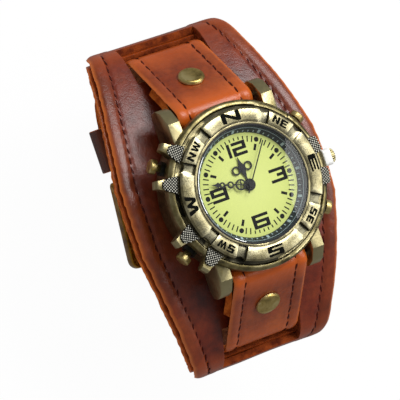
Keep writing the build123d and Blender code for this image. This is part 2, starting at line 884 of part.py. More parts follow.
def ring_groove():
    """Groove for the ring that holds the bezel, cut into neck and bezel alike."""
    low = dial_z + ring_groove_low
    reach = ring_groove_depth + bezel_gap
    return ring(neck_radius + reach, neck_radius - ring_groove_depth, low, low + ring_groove_height)


def case_body():
    case = case_shell()
    for lugs in both_ends(lug_pair()):
        case += lugs
    for clock in guard_angles:
        case += at_clock(claw(), clock)
    for clock in crown_guard_angles:
        stub = crown_guard(claw_start_radius, dial_z + claw_low, dial_z + flange_top)
        case += at_clock(stub, clock)
    for room in both_ends(strap_room()):
        case -= room
    case -= disc(cavity_radius, case_bottom_z - overrun, crystal_z)
    case -= disc(back_recess_radius, case_bottom_z - overrun, back_top_z + back_recess_depth)
    gasket_top = back_top_z + back_gasket_height
    case -= ring(back_gasket_radius, back_gasket_inner, case_bottom_z - overrun, gasket_top)
    for start, end in flange_grooves:
        case -= flange_groove(start, end)
    case -= ring_groove()
    case -= rod(crown_tube_radius, cavity_radius - overrun, crown_tube_end_x + overrun, stem_z)
    for clock in pusher_angles.values():
        bore = rod(pusher_pocket_radius, cavity_radius - overrun, case_radius + overrun, pusher_z)
        case -= at_clock(bore, clock)
    return case


def knurled_guard():
    """Knurled plate of one guard, built along X, tapering outwards to the claw's width."""
    inner, outer = guard_inner_width / 2, guard_outer_width / 2
    face = Polygon(
        (guard_inner_radius, -inner),
        (guard_outer_radius, -outer),
        (guard_outer_radius, outer),
        (guard_inner_radius, inner),
        align=None,
    )
    low = dial_z + flange_top
    plate = flat_piece(face, low, low + guard_thickness)
    return plate


def bezel():
    """Compass ring: eight lettered blocks between scalloped notches."""
    crest = bezel_bore + bezel_crest_inset
    ring_body = turned([
        (bezel_bore, dial_z + bezel_low),
        (bezel_radius, dial_z + bezel_low),
        (bezel_radius, dial_z + bezel_outer_top - bezel_edge),
        (bezel_radius - bezel_edge, dial_z + bezel_outer_top),
        (crest, dial_z + bezel_crest),
        (bezel_bore, dial_z + bezel_inner_top),
    ])
    floor = dial_z + bezel_notch_floor
    top = dial_z + bezel_crest + overrun
    half = bezel_notch_width / 2
    notch = block(bezel_bore - overrun, bezel_radius + overrun, -half, half, floor, top)
    scallop_x = bezel_radius + bezel_scallop_radius - bezel_scallop_inset
    notch += disc(bezel_scallop_radius, dial_z, top, scallop_x)
    for clock in bezel_notch_angles:
        ring_body -= at_clock(notch, clock)
    return ring_body - ring_groove()


def bezel_ring():
    """Open spring wire that sits half in the neck and half in the bezel."""
    low = dial_z + ring_groove_low + (ring_groove_height - ring_wire) / 2
    inner = neck_radius - ring_groove_depth + running_gap
    wire = ring(inner + ring_wire, inner, low, low + ring_wire)
    gap = disc(neck_radius * 2, low - overrun, low + ring_wire + overrun)
    wedge = Polygon((0, 0), polar(bezel_radius, ring_opening / 2), polar(bezel_radius, -ring_opening / 2), align=None)
    return wire - (flat_piece(wedge, low - overrun, low + ring_wire + overrun) & gap)


def crystal():
    """Mineral glass with a slight dome."""
    rise = crystal_dome - crystal_edge_top
    dome_radius = (crystal_radius ** 2 + rise ** 2) / (2 * rise)
    ball = Pos(0, 0, dial_z + crystal_dome - dome_radius) * Sphere(dome_radius)
    return disc(crystal_radius, crystal_z, dial_z + crystal_dome + overrun) & ball


def crystal_gasket():
    return ring(crystal_bore_radius - gasket_play, crystal_radius + gasket_play, crystal_z, dial_z + neck_top)


def chapter_ring():
    outer = cavity_radius - gasket_play
    top = crystal_z - gasket_play
    return turned([
        (chapter_inner_radius, dial_z),
        (outer, dial_z),
        (outer, top),
        (outer - chapter_top_inset, top),
        (chapter_inner_radius, dial_z + chapter_foot),
    ])


def dial():
    """Printed disc with its two feet."""
    disc_body = ring(dial_radius, dial_hole_radius, dial_z - dial_thickness, dial_z)
    low = dial_z - dial_thickness - dial_foot_length
    for side in (0, 180):
        x, y = polar(dial_foot_orbit, side + fifth_direction / 2)
        disc_body += disc(dial_foot_radius, low, dial_z - dial_thickness, x, y)
    return disc_body


def case_back():
    """Snap-on back: a plate and the rim that clicks into the case."""
    plate = disc(back_radius, case_bottom_z, back_top_z)
    outer = back_recess_radius - gasket_play
    rim = ring(outer, outer - back_rim_wall, back_top_z - layer_gap, back_top_z + back_recess_depth - layer_gap)
    return plate + rim


def back_gasket():
    high = back_top_z + back_gasket_height
    return ring(back_gasket_radius - gasket_play, back_gasket_inner + gasket_play, back_top_z, high)


# Hands

def hand_blank(length, boss_radius, hole, loops, leaf, low):
    """Openwork hand built along X: a boss, wire loops and a pointed leaf."""
    boss = Circle(boss_radius)
    start = boss_radius * spine_start_share
    tip_start = length * leaf[-1][0]
    spine = Pos((start + tip_start) / 2, 0) * Rectangle(tip_start - start, hand_line)
    one_side = [(length * along, length * half) for along, half in leaf]
    other_side = [(x, -y) for x, y in reversed(one_side)]
    face = boss + spine + Polygon(*one_side, (length, 0), *other_side, align=None)
    for along, size, aside in loops:
        place = Pos(along * length, aside * length)
        face += place * Circle(size * length)
    for along, size, aside in loops:
        place = Pos(along * length, aside * length)
        face -= place * Circle(size * length - hand_line)
    along, size, aside = loops[0]
    if aside == 0:
        cross = 2 * size * length - hand_line
        line = hand_line * cross_line_share
        face += Pos(along * length, 0) * (Rectangle(cross, line) + Rectangle(line, cross))
    blade = flat_piece(face, low, low + hand_thickness)
    blade += disc(boss_radius, low, low + hand_boss_height)
    return blade - disc(hole, low - overrun, low + overrun)


def hour_hand():
    low = dial_z + hour_hand_low
    radius = hour_tube_radius + hand_boss_wall
    blank = hand_blank(hour_hand_length, radius, hour_tube_radius, hour_loop_shares, hour_leaf_shares, low)
    return at_clock(blank, hour_hand_angle)


def minute_hand():
    low = dial_z + minute_hand_low
    radius = cannon_radius + hand_boss_wall
    blank = hand_blank(minute_hand_length, radius, cannon_radius, minute_loop_shares, minute_leaf_shares, low)
    return at_clock(blank, minute_hand_angle)


def second_hand():
    low = dial_z + second_hand_low
    half = second_hand_width / 2
    blade = block(-second_hand_tail, second_hand_length, -half, half, low, low + hand_thickness)
    blade += disc(cannon_radius, low, low + hand_boss_height)
    blade -= disc(second_arbor_radius, low - overrun, low + hand_boss_height / 2)
    return at_clock(blade, second_hand_angle)


# Movement

third_x, third_y = polar(centre_distance, third_direction)
fifth_x, fifth_y = polar(fifth_distance, fifth_direction)
rotor_x, rotor_y = polar(fifth_distance + rotor_distance, fifth_direction)
setting_x = motion_distance + setting_distance
screw_places = [(plate_radius * x_share, plate_radius * y_share) for x_share, y_share in screw_place_shares]


def half_pitch(teeth):
    return 180 / teeth


def arbor(low, high, x=0, y=0):
    return disc(arbor_radius, dial_z + low, dial_z + high, x, y)


def centre_wheel():
    """Slowest wheel of the train, on the tube that carries the cannon pinion."""
    wheel = gear(centre_teeth, centre_module, centre_wheel_low, 0, 0, third_direction + half_pitch(centre_teeth))
    tube_low = centre_wheel_low - pinion_overlap
    wheel += disc(centre_tube_radius, dial_z + tube_low, dial_z + minute_hand_low - layer_gap)
    return wheel - disc(centre_tube_inner, dial_z + tube_low - overrun, dial_z + overrun)


def third_wheel():
    pinion_low = centre_wheel_low - pinion_overlap
    phase = third_direction + 180
    wheel = gear(third_teeth, third_module, third_wheel_low, third_x, third_y, phase)
    wheel += gear(third_pinion_teeth, centre_module, pinion_low, third_x, third_y, phase, pinion_height)
    return wheel + arbor(bridge_top - bridge_thickness, plate_top, third_x, third_y)


def second_wheel():
    pinion_low = third_wheel_low - pinion_overlap
    teeth_to_third = third_direction + half_pitch(second_pinion_teeth)
    wheel = gear(second_pinion_teeth, third_module, pinion_low, 0, 0, teeth_to_third, pinion_height)
    wheel += gear(second_teeth, second_module, second_wheel_low, 0, 0, fifth_direction + half_pitch(second_teeth))
    low = dial_z + bridge_top - bridge_thickness
    wheel += disc(second_arbor_radius, low, dial_z + second_hand_low + hand_boss_height / 2)
    return wheel


def fifth_wheel():
    pinion_low = second_wheel_low - pinion_overlap
    wheel = gear(fifth_teeth, fifth_module, fifth_wheel_low, fifth_x, fifth_y, fifth_direction)
    back = fifth_direction + 180
    wheel += gear(fifth_pinion_teeth, second_module, pinion_low, fifth_x, fifth_y, back, pinion_height)
    return wheel + arbor(bridge_top - bridge_thickness, plate_top, fifth_x, fifth_y)


def rotor():
    """Magnet of the step motor with its pinion."""
    pinion_low = fifth_wheel_low - pinion_overlap
    phase = fifth_direction + 180 + half_pitch(rotor_teeth)
    body = gear(rotor_teeth, fifth_module, pinion_low, rotor_x, rotor_y, phase, pinion_height)
    low = dial_z + rotor_magnet_low
    body += disc(rotor_magnet_radius, low, low + rotor_magnet_height, rotor_x, rotor_y)
    return body + arbor(bridge_top - bridge_thickness, plate_top, rotor_x, rotor_y)


def cannon_pinion():
    """Friction tube on the centre wheel that carries the minute hand."""
    pinion = gear(cannon_teeth, motion_module, minute_wheel_low, 0, 0, 0)
    pinion += disc(cannon_radius, dial_z + minute_wheel_low, dial_z + minute_hand_low + hand_thickness)
    bore = centre_tube_radius + running_gap / 2
    return pinion - disc(bore, dial_z + minute_wheel_low - overrun, dial_z + overrun)


def minute_wheel():
    phase = 180 + half_pitch(minute_wheel_teeth)
    wheel = gear(minute_wheel_teeth, motion_module, minute_wheel_low, motion_distance, 0, phase)
    low = minute_wheel_low + wheel_thickness
    height = hour_wheel_low + wheel_thickness + pinion_overlap - low
    wheel += gear(minute_pinion_teeth, motion_module, low, motion_distance, 0, 180, height)
    return wheel + arbor(plate_top, minute_wheel_low, motion_distance, 0)


def hour_wheel():
    """Wheel and tube that carry the hour hand."""
    wheel = gear(hour_teeth, motion_module, hour_wheel_low, 0, 0, half_pitch(hour_teeth))
    wheel += disc(hour_tube_radius, dial_z + hour_wheel_low, dial_z + hour_hand_low + hand_thickness)
    return wheel - disc(cannon_radius + running_gap, dial_z + hour_wheel_low - overrun, dial_z + overrun)


def setting_wheel():
    """Idler between the minute wheel and the stem's clutch."""
    wheel = gear(setting_teeth, motion_module, minute_wheel_low, setting_x, 0, 180)
    return wheel + arbor(plate_top, minute_wheel_low, setting_x, 0)


def main_plate():
    """Base of the movement, bored for the arbors and opened for the coil and the clutch."""
    low = plate_low_z
    plate = disc(plate_radius, low, plate_z)
    plate -= disc(centre_tube_radius + running_gap, low - overrun, plate_z + overrun)
    for x, y in ((third_x, third_y), (fifth_x, fifth_y), (rotor_x, rotor_y), (motion_distance, 0), (setting_x, 0)):
        plate -= disc(arbor_bearing_radius, low - overrun, plate_z + overrun, x, y)
    play = coil_radius + layer_gap
    plate -= block(coil_left_x, coil_right_x, coil_y - play, coil_y + play, low - overrun, plate_z + overrun)
    plate -= rod(stem_radius + running_gap, stem_start_x - overrun, plate_radius + overrun, stem_z)
    room = clutch_radius + layer_gap
    end = stem_start_x + clutch_length + layer_gap
    plate -= block(stem_start_x - layer_gap, end, -room, room, low - overrun, plate_z + overrun)
    for x, y in screw_places:
        plate -= disc(screw_radius, low - overrun, plate_z + overrun, x, y)
    for side in (0, 180):
        x, y = polar(dial_foot_orbit, side + fifth_direction / 2)
        plate -= disc(dial_foot_radius + running_gap, low - overrun, plate_z + overrun, x, y)
    return plate


def train_bridge():
    """Lower bearing plate of the train, on three pillars."""
    low = bridge_z - bridge_thickness
    rounds = [Pos(x, y) * Circle(screw_head_radius + layer_gap) for x, y in screw_places + [(rotor_x, rotor_y)]]
    face = make_hull([edge for circle in rounds for edge in circle.edges()])
    bridge = flat_piece(face, low, bridge_z)
    for x, y in screw_places:
        bridge += disc(screw_head_radius, bridge_z - layer_gap, plate_low_z, x, y)
    for x, y in ((third_x, third_y), (fifth_x, fifth_y), (rotor_x, rotor_y)):
        bridge -= disc(arbor_bearing_radius, low - overrun, bridge_z + overrun, x, y)
    bridge -= disc(second_arbor_radius + running_gap, low - overrun, bridge_z + overrun)
    for x, y in screw_places:
        bridge -= disc(screw_radius, low - overrun, plate_z + overrun, x, y)
    return bridge


def movement_screws():
    """Three screws through the bridge pillars into the plate."""
    head_low = bridge_z - bridge_thickness - screw_head_height
    screws = []
    for x, y in screw_places:
        head = disc(screw_head_radius, head_low, head_low + screw_head_height, x, y)
        screws.append(head + disc(screw_radius, head_low, plate_z - layer_gap, x, y))
    return screws


def stator():
    """Soft iron plate round the rotor with a leg to each end of the coil."""
    face = Pos(rotor_x, rotor_y) * Circle(stator_ring_radius)
    for end_x in (coil_left_x, coil_right_x):
        reach = Vector(end_x - rotor_x, coil_y - rotor_y)
        middle = (rotor_x + reach.X / 2, rotor_y + reach.Y / 2)
        angle = math.degrees(math.atan2(reach.Y, reach.X))
        face += Pos(*middle) * Rot(0, 0, angle) * SlotCenterToCenter(reach.length, 2 * coil_radius * stator_leg_share)
    face -= Pos(rotor_x, rotor_y) * Circle(stator_hole_radius)
    play = coil_radius + layer_gap
    plate = flat_piece(face, stator_z, plate_low_z)
    gap = coil_end_gap
    plate -= block(coil_left_x + gap, coil_right_x - gap, coil_y - play, coil_y + play, case_bottom_z, dial_z)
    return plate


def coil_parts():
    """Core bar between the stator legs, and the winding on it."""
    level = stator_z + stator_thickness / 2
    start = coil_left_x + coil_end_gap
    end = coil_right_x - coil_end_gap
    core = Pos(0, coil_y, 0) * rod(coil_core_radius, start, end, level)
    winding = Pos(0, coil_y, 0) * (
        rod(coil_radius, start + layer_gap, end - layer_gap, level) - rod(coil_core_radius, start, end, level)
    )
    return core, winding


def battery():
    low = dial_z + battery_low
    cell = disc(battery_radius, low, low + battery_thickness * battery_step_share, battery_x, battery_y)
    return cell + disc(battery_radius * battery_cap_share, low, low + battery_thickness, battery_x, battery_y)


def battery_clip():
    """Spring strip across the battery, seated on the plate at both ends."""
    low = dial_z + battery_low - battery_clip_thickness
    half = battery_radius + battery_clip_overhang
    width = battery_clip_width / 2
    strip = block(-half, half, -width, width, low, low + battery_clip_thickness)
    top = plate_low_z
    inner = battery_radius + layer_gap * 2
    for side in (-1, 1):
        leg = block(inner, inner + battery_clip_overhang - 2 * layer_gap, -width, width, low, top)
        strip += leg if side > 0 else Rot(0, 0, 180) * leg
    return Pos(battery_x, battery_y, 0) * Rot(0, 0, 45) * strip


def circuit_board():
    """Board under the plate, with the sealed chip on it."""
    top = plate_low_z
    x, y = board_x - board_width / 2, board_y - board_length / 2
    board = block(x, x + board_width, y, y + board_length, top - board_thickness, top)
    chip = board_thickness * 2
    return board + disc(board_length / 4, top - chip, top - board_thickness, board_x, y + board_length / 4)


def quartz_can():
    """Sealed can of the quartz tuning fork, lying on the board."""
    level = plate_low_z - board_thickness - quartz_radius
    can = rod(quartz_radius, board_x - quartz_length / 2, board_x + quartz_length / 2, level)
    return Pos(0, board_y + board_length / 4, 0) * can


def movement_holder():
    """Plastic ring that centres the movement in the case and carries the dial."""
    outer = cavity_radius - holder_gap
    top = dial_z - dial_thickness
    body = ring(outer, holder_inner_radius, back_top_z, top)
    lip_inner = holder_inner_radius - holder_lip
    body += ring(outer, lip_inner, plate_z + layer_gap / 2, top)
    lip_top = plate_low_z - layer_gap / 2
    body += ring(outer, lip_inner, lip_top - holder_lip_height, lip_top)
    stem_room = stem_radius + slide_gap
    return body - rod(stem_room, lip_inner - overrun, outer + overrun, stem_z)


# Crown and pushers

def crown():
    """Fluted head and the pipe that runs in the case tube."""
    body = rod(crown_radius, crown_start_x, crown_end_x, stem_z)
    body = fillet(body.edges().group_by(Axis.X)[-1], crown_edge_radius)
    flute = rod(crown_flute_radius, crown_start_x - overrun, crown_end_x + overrun)
    for step in range(crown_flutes):
        y, z = polar(crown_radius, 360 * step / crown_flutes)
        body -= Pos(0, y, stem_z + z) * flute
    body += rod(crown_pipe_radius, crown_pipe_start_x, crown_start_x + layer_gap, stem_z)
    groove = rod(crown_pipe_radius + overrun, crown_ring_x, crown_ring_x + crown_ring_width, stem_z)
    groove -= rod(crown_pipe_radius - crown_ring_depth, crown_ring_x, crown_ring_x + crown_ring_width, stem_z)
    return body - groove - rod(stem_radius, crown_pipe_start_x - overrun, stem_end_x, stem_z)


def crown_gasket():
    start, end = crown_ring_x, crown_ring_x + crown_ring_width
    outer = rod(crown_pipe_radius + running_gap, start, end, stem_z)
    return outer - rod(crown_pipe_radius - crown_ring_depth, start - overrun, end + overrun, stem_z)


def stem():
    """Setting stem with its clutch at the inner end."""
    body = rod(stem_radius, stem_start_x, stem_end_x, stem_z)
    return body + rod(clutch_radius, stem_start_x, stem_start_x + clutch_length, stem_z)


def crown_tube():
    tube = rod(crown_tube_radius, crown_tube_start_x, crown_tube_end_x, stem_z)
    tube += rod(crown_collar_radius, case_radius, crown_tube_end_x, stem_z)
    bore = crown_pipe_radius + running_gap * 2
    return tube - rod(bore, crown_tube_start_x - overrun, crown_tube_end_x + overrun, stem_z)


def crown_stop_clip():
    """White plastic clip that keeps the crown pulled out until the watch is sold."""
    start = crown_tube_end_x + stop_clip_gap
    end = start + stop_clip_thickness
    half = stop_clip_width / 2
    low = stem_z - stop_clip_fall
    body = block(start, end, -half, half, low, stem_z + stop_clip_rise)
    body = fillet(body.edges().filter_by(Axis.X).group_by(Axis.Z)[-1], stop_clip_edge_radius)
    slot = crown_pipe_radius + stop_clip_slot_play
    body -= rod(slot, start - overrun, end + overrun, stem_z)
    return body - block(start - overrun, end + overrun, -slot, slot, low - overrun, stem_z)


def pusher():
    """Head, neck and stem of one pusher, built along X."""
    head = rod(pusher_head_radius, pusher_head_start, pusher_head_end, pusher_z)
    head = fillet(head.edges().group_by(Axis.X)[-1], pusher_head_round)
    head += rod(pusher_neck_radius, pusher_shoulder, pusher_head_start + layer_gap, pusher_z)
    body = head + rod(pusher_stem_radius, pusher_stem_end, pusher_shoulder + layer_gap, pusher_z)
    ring_end = pusher_tube_start - layer_gap
    groove = rod(pusher_ring_radius, ring_end - pusher_ring_thickness, ring_end, pusher_z)
    groove -= rod(pusher_groove_radius, pusher_stem_end - overrun, pusher_shoulder, pusher_z)
    return body - groove


def pusher_ring():
    """Snap ring that keeps the pusher in its tube."""
    end = pusher_tube_start - layer_gap
    outer = rod(pusher_ring_radius, end - pusher_ring_thickness, end, pusher_z)
    return outer - rod(pusher_groove_radius, pusher_stem_end, end + overrun, pusher_z)


def pusher_tube():
    tube = rod(pusher_tube_radius, pusher_tube_start, pusher_tube_end, pusher_z)
    tube += rod(pusher_collar_radius, body_radius, pusher_tube_end, pusher_z)
    bore = pusher_neck_radius + running_gap
    tube -= rod(bore, pusher_tube_start + pusher_tube_floor, pusher_tube_end + overrun, pusher_z)
    return tube - rod(pusher_stem_radius + running_gap, pusher_tube_start - overrun, pusher_tube_end, pusher_z)


def pusher_spring():
    """Return spring between the tube's floor and the pusher's shoulder, as its closed outer form."""
    start = pusher_tube_start + pusher_tube_floor + spring_play
    end = pusher_shoulder - spring_play
    outer = pusher_neck_radius - spring_play / 2
    return rod(outer, start, end, pusher_z) - rod(outer - spring_wall, start - overrun, end + overrun, pusher_z)


def gathered(shapes):
    """Several separate solids as one node."""
    return Compound(children=[Compound(shape.solids()) for shape in shapes])


def build():
    nodes = {}
    nodes["cuff_outer"] = cuff_layer(0, cuff_outer_leather)
    nodes["cuff_lining"] = cuff_layer(cuff_outer_leather, cuff_thickness)
    nodes["strap_buckle_half"] = buckle_strap()
    nodes["strap_tail_half"] = tail_strap()
    nodes["rivet_caps"] = gathered([rivet_cap(1), rivet_cap(-1)])
    nodes["rivet_posts"] = gathered([rivet_post(1), rivet_post(-1)])
    nodes["spring_bars"] = gathered([spring_bar(1), spring_bar(-1)])
    nodes["buckle_frame"] = buckle_frame()
    nodes["buckle_hinge_pin"] = hinge_pin()
    nodes["buckle_tongue"] = buckle_tongue()
    nodes["strap_keeper"] = keeper()
    nodes["case_body"] = case_body()
    plate_low = dial_z + flange_top
    plate = crown_guard(guard_inner_radius, plate_low, plate_low + guard_thickness)
    plates = [at_clock(knurled_guard(), clock) for clock in guard_angles]
    plates += [at_clock(plate, clock) for clock in crown_guard_angles]
    nodes["knurled_guards"] = gathered(plates)
    nodes["case_back"] = case_back()
    nodes["case_back_gasket"] = back_gasket()
    nodes["compass_bezel"] = bezel()
    nodes["bezel_ring"] = bezel_ring()
    nodes["crystal"] = crystal()
    nodes["crystal_gasket"] = crystal_gasket()
    nodes["chapter_ring"] = chapter_ring()
    nodes["dial"] = dial()
    nodes["hour_hand"] = hour_hand()
    nodes["minute_hand"] = minute_hand()
    nodes["second_hand"] = second_hand()
    nodes["centre_wheel"] = centre_wheel()
    nodes["third_wheel"] = third_wheel()
    nodes["second_wheel"] = second_wheel()
    nodes["fifth_wheel"] = fifth_wheel()
    nodes["motor_rotor"] = rotor()
    nodes["cannon_pinion"] = cannon_pinion()
    nodes["minute_wheel"] = minute_wheel()
    nodes["hour_wheel"] = hour_wheel()
    nodes["setting_wheel"] = setting_wheel()
    nodes["main_plate"] = main_plate()
    nodes["train_bridge"] = train_bridge()
    nodes["movement_screws"] = gathered(movement_screws())
    nodes["motor_stator"] = stator()
    nodes["coil_core"], nodes["coil_winding"] = coil_parts()
    nodes["battery"] = battery()
    nodes["battery_clip"] = battery_clip()
    nodes["circuit_board"] = circuit_board()
    nodes["quartz_can"] = quartz_can()
    nodes["movement_holder"] = movement_holder()
    nodes["crown"] = crown()
    nodes["crown_gasket"] = crown_gasket()
    nodes["setting_stem"] = stem()
    nodes["crown_tube"] = crown_tube()
    nodes["crown_stop_clip"] = crown_stop_clip()
    nodes["pusher_tubes"] = gathered([at_clock(pusher_tube(), clock) for clock in pusher_angles.values()])
    for hour, clock in pusher_angles.items():
        nodes[f"pusher_{hour}"] = gathered([at_clock(pusher(), clock), at_clock(pusher_ring(), clock)])
        nodes[f"pusher_spring_{hour}"] = at_clock(pusher_spring(), clock)
    return nodes


if __name__ == "__main__":
    os.makedirs("parts", exist_ok=True)
    for name, shape in build().items():
        export_step(shape, f"parts/{name}.step")
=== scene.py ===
import bpy
import bmesh
import math
from mathutils import Matrix, Vector, noise


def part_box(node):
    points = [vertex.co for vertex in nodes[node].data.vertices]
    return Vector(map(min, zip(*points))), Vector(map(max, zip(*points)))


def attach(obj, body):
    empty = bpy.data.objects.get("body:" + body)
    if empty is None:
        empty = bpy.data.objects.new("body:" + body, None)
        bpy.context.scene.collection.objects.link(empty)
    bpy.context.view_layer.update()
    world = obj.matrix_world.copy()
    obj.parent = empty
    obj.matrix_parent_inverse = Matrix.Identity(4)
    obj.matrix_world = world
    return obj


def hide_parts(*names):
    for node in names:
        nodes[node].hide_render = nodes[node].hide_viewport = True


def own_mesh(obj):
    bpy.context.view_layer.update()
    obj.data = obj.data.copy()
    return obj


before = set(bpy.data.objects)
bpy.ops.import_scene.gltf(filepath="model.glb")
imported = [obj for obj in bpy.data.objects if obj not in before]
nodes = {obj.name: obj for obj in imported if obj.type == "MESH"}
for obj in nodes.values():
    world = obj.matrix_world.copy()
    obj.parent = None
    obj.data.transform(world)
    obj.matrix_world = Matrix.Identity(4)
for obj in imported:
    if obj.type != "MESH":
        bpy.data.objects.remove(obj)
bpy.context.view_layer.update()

MM = 0.001
hairline = 0.02 * MM

# Real sizes of the watch, in millimetres times MM, with heights taken from the frame
dial_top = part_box("dial")[1].z
guard_low, guard_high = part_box("knurled_guards")
cuff_low, cuff_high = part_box("cuff_outer")
keeper_low, keeper_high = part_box("strap_keeper")
bezel_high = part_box("compass_bezel")[1]

cuff_radius = 68 * MM
shoulder_radius = 8 * MM
shoulder_y = cuff_high.y - shoulder_radius
shoulder_tilt = math.asin(shoulder_y / (cuff_radius - shoulder_radius))
cuff_centre_z = cuff_high.z - cuff_radius
shoulder_z = cuff_centre_z + (cuff_radius - shoulder_radius) * math.cos(shoulder_tilt)
cuff_wide = cuff_radius * shoulder_tilt
cuff_round = shoulder_radius * (math.pi / 2 - shoulder_tilt)
cuff_half_length = cuff_wide + cuff_round + shoulder_z - cuff_low.z
cuff_half_width = cuff_high.x
cuff_corner = 3.5 * MM
outer_leather = 1.9 * MM
lining_leather = 1.5 * MM
slot_half_width = 10.6 * MM
slot_near = cuff_radius * math.asin(30.7 * MM / cuff_radius)
slot_far = cuff_wide + shoulder_radius * (math.radians(68) - shoulder_tilt)
# Share of the way from the middle to the cuff's end, and share of its half width there
cuff_outline_shares = [
    (0.0, 1.0), (0.17, 0.992), (0.35, 0.925), (0.48, 0.873), (0.60, 0.82),
    (0.72, 0.765), (0.82, 0.725), (0.91, 0.69), (1.0, 0.665),
]

strap_leather = 1.8 * MM
bar_y = 19.7 * MM
bar_z = dial_top - 5.8 * MM
fold_radius = 1.9 * MM
under_length = 12.4 * MM
strap_slope = math.radians(50)
side_y = 35.8 * MM
flat_z = 4.5 * MM
tail_z = 2.6 * MM
side_corner = 18 * MM
strap_half = 10 * MM
buckle_half = 9 * MM
taper_start_z = dial_top - 28 * MM
taper_end_z = dial_top - 50 * MM
hinge_y = 8.5 * MM
hinge_fold = 1.85 * MM

bezel_bore = 14.55 * MM
bezel_outer = bezel_high.x
crest_radius = bezel_bore + 0.6 * MM
crest_top = bezel_high.z
bezel_outer_top = dial_top + 2.9 * MM
chapter_inner = 12.2 * MM
chapter_outer = 13.48 * MM
chapter_low = dial_top + 0.1 * MM
chapter_high = dial_top + 2.08 * MM


# Modelling helpers

def alone(piece):
    """Make one object the whole selection and the active one."""
    bpy.ops.object.select_all(action="DESELECT")
    piece.select_set(True)
    bpy.context.view_layer.objects.active = piece


def named(piece, name):
    """Give an object and its data one name, and link the object into the scene if it isn't yet."""
    piece.name = name
    piece.data.name = name
    if not piece.users_collection:
        bpy.context.scene.collection.objects.link(piece)
    return piece


def start(name, primitive, **settings):
    """Begin a piece from a primitive at its size and place."""
    bpy.ops.object.select_all(action="DESELECT")
    primitive(**settings)
    return named(bpy.context.object, name)


def block(name, size, place=(0, 0, 0), turn=0.0):
    """Begin a piece from a box of a size at a place, turned about Z."""
    piece = start(name, bpy.ops.mesh.primitive_cube_add, size=1, location=place, scale=size,
                  rotation=(0, 0, turn))
    bpy.ops.object.transform_apply(location=True, rotation=True, scale=True)
    return piece


def modify(piece, kind, **settings):
    """Put one modifier on a piece and apply it."""
    alone(piece)
    modifier = piece.modifiers.new(kind.title(), kind)
    for key, value in settings.items():
        setattr(modifier, key, value)
    bpy.ops.object.modifier_apply(modifier=modifier.name)


def round_off(piece, width, segments, degrees, **settings):
    """Round the edges that are sharper than an angle."""
    modify(piece, "BEVEL", width=width, segments=segments, limit_method="ANGLE",
           angle_limit=math.radians(degrees), **settings)


def edit(piece, mode="FACE", choose=None):
    """Go into edit mode with the faces, edges or vertices selected that choose() takes."""
    alone(piece)
    bpy.ops.object.mode_set(mode="EDIT")
    bpy.ops.mesh.select_mode(type=mode)
    bpy.ops.mesh.select_all(action="DESELECT")
    bm = bmesh.from_edit_mesh(piece.data)
    parts = {"FACE": bm.faces, "EDGE": bm.edges, "VERT": bm.verts}[mode]
    for part in parts:
        if choose is None or choose(part):
            part.select_set(True)
    bmesh.update_edit_mesh(piece.data)


def done():
    """Leave edit mode."""
    bpy.ops.object.mode_set(mode="OBJECT")


def settle(piece, matrix):
    """Put a piece in place through its mesh, so that its object stays at the origin."""
    piece.data.transform(matrix @ piece.matrix_world)
    piece.matrix_world = Matrix.Identity(4)


def smooth(piece, degrees=35):
    """Shade smoothly, but leave edges sharper than an angle."""
    alone(piece)
    bpy.ops.object.shade_smooth_by_angle(angle=math.radians(degrees))


def put_on(piece, *materials):
    """Add materials to a piece."""
    for material in materials:
        piece.data.materials.append(material)


def hand_over(piece, body, slot, *materials, replaced=()):
    """Give a finished piece its materials and its body; its slot is not used."""
    if materials:
        piece.data.materials.clear()
        put_on(piece, *materials)
    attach(piece, body)
    if replaced:
        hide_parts(*replaced)


def copies(name, model, matrices):
    """One mesh that holds a copy of a modelled shape at each place."""
    bm = bmesh.new()
    for matrix in matrices:
        known = len(bm.verts)
        bm.from_mesh(model.data)
        bm.verts.ensure_lookup_table()
        bmesh.ops.transform(bm, matrix=matrix, verts=bm.verts[known:])
    mesh = bpy.data.meshes.new(name)
    bm.to_mesh(mesh)
    bm.free()
    piece = named(bpy.data.objects.new(name, mesh), name)
    put_on(piece, *model.data.materials)
    bpy.data.objects.remove(model)
    return piece


def join(name, pieces):
    """Join several meshes into one piece."""
    alone(pieces[0])
    for piece in pieces[1:]:
        piece.select_set(True)
    bpy.ops.object.join()
    return named(pieces[0], name)


def at_clock(clock, radius=0.0, height=0.0, tilt=0.0):
    """Place on the dial whose local Y points outwards at a clock angle, tilted down outwards."""
    turn = Matrix.Rotation(math.radians(-clock), 4, "Z")
    lean = Matrix.Rotation(-tilt, 4, "X")
    return turn @ Matrix.Translation((0, radius, height)) @ lean


def copied(node, name):
    """Copy of a CAD node as a piece of its own."""
    piece = nodes[node].copy()
    piece.data = nodes[node].data.copy()
    piece.parent = None
    for key in list(piece.keys()):
        del piece[key]
    named(piece, name)
    piece.matrix_world = Matrix.Identity(4)
    return piece


def soften(node, name, body, finish, width, segments=2, angle=35, slot="antique_brass"):
    """Replace a rigid CAD node with a copy whose sharp edges are rounded to a real radius."""
    piece = copied(node, name)
    edit(piece, "VERT")
    bpy.ops.mesh.remove_doubles(threshold=0.001 * MM)
    bpy.ops.mesh.dissolve_limited(angle_limit=math.radians(0.5))
    done()
    round_off(piece, width, segments, angle, use_clamp_overlap=True, miter_outer="MITER_ARC")
    modify(piece, "TRIANGULATE")
    smooth(piece)
    hand_over(piece, body, slot, finish, replaced=[node])


# Materials

def colour(code):
    """An sRGB hex value as the linear colour that shader sockets take."""
    channels = [int(code[place:place + 2], 16) / 255 for place in (1, 3, 5)]
    linear = [c / 12.92 if c <= 0.04045 else ((c + 0.055) / 1.055) ** 2.4 for c in channels]
    return (*linear, 1.0)


def give(tree, shader, values):
    """Set a node's sockets. A value is a plain one or an output socket."""
    for key, value in values.items():
        if isinstance(value, bpy.types.NodeSocket):
            tree.links.new(value, shader.inputs[key])
        else:
            shader.inputs[key].default_value = value


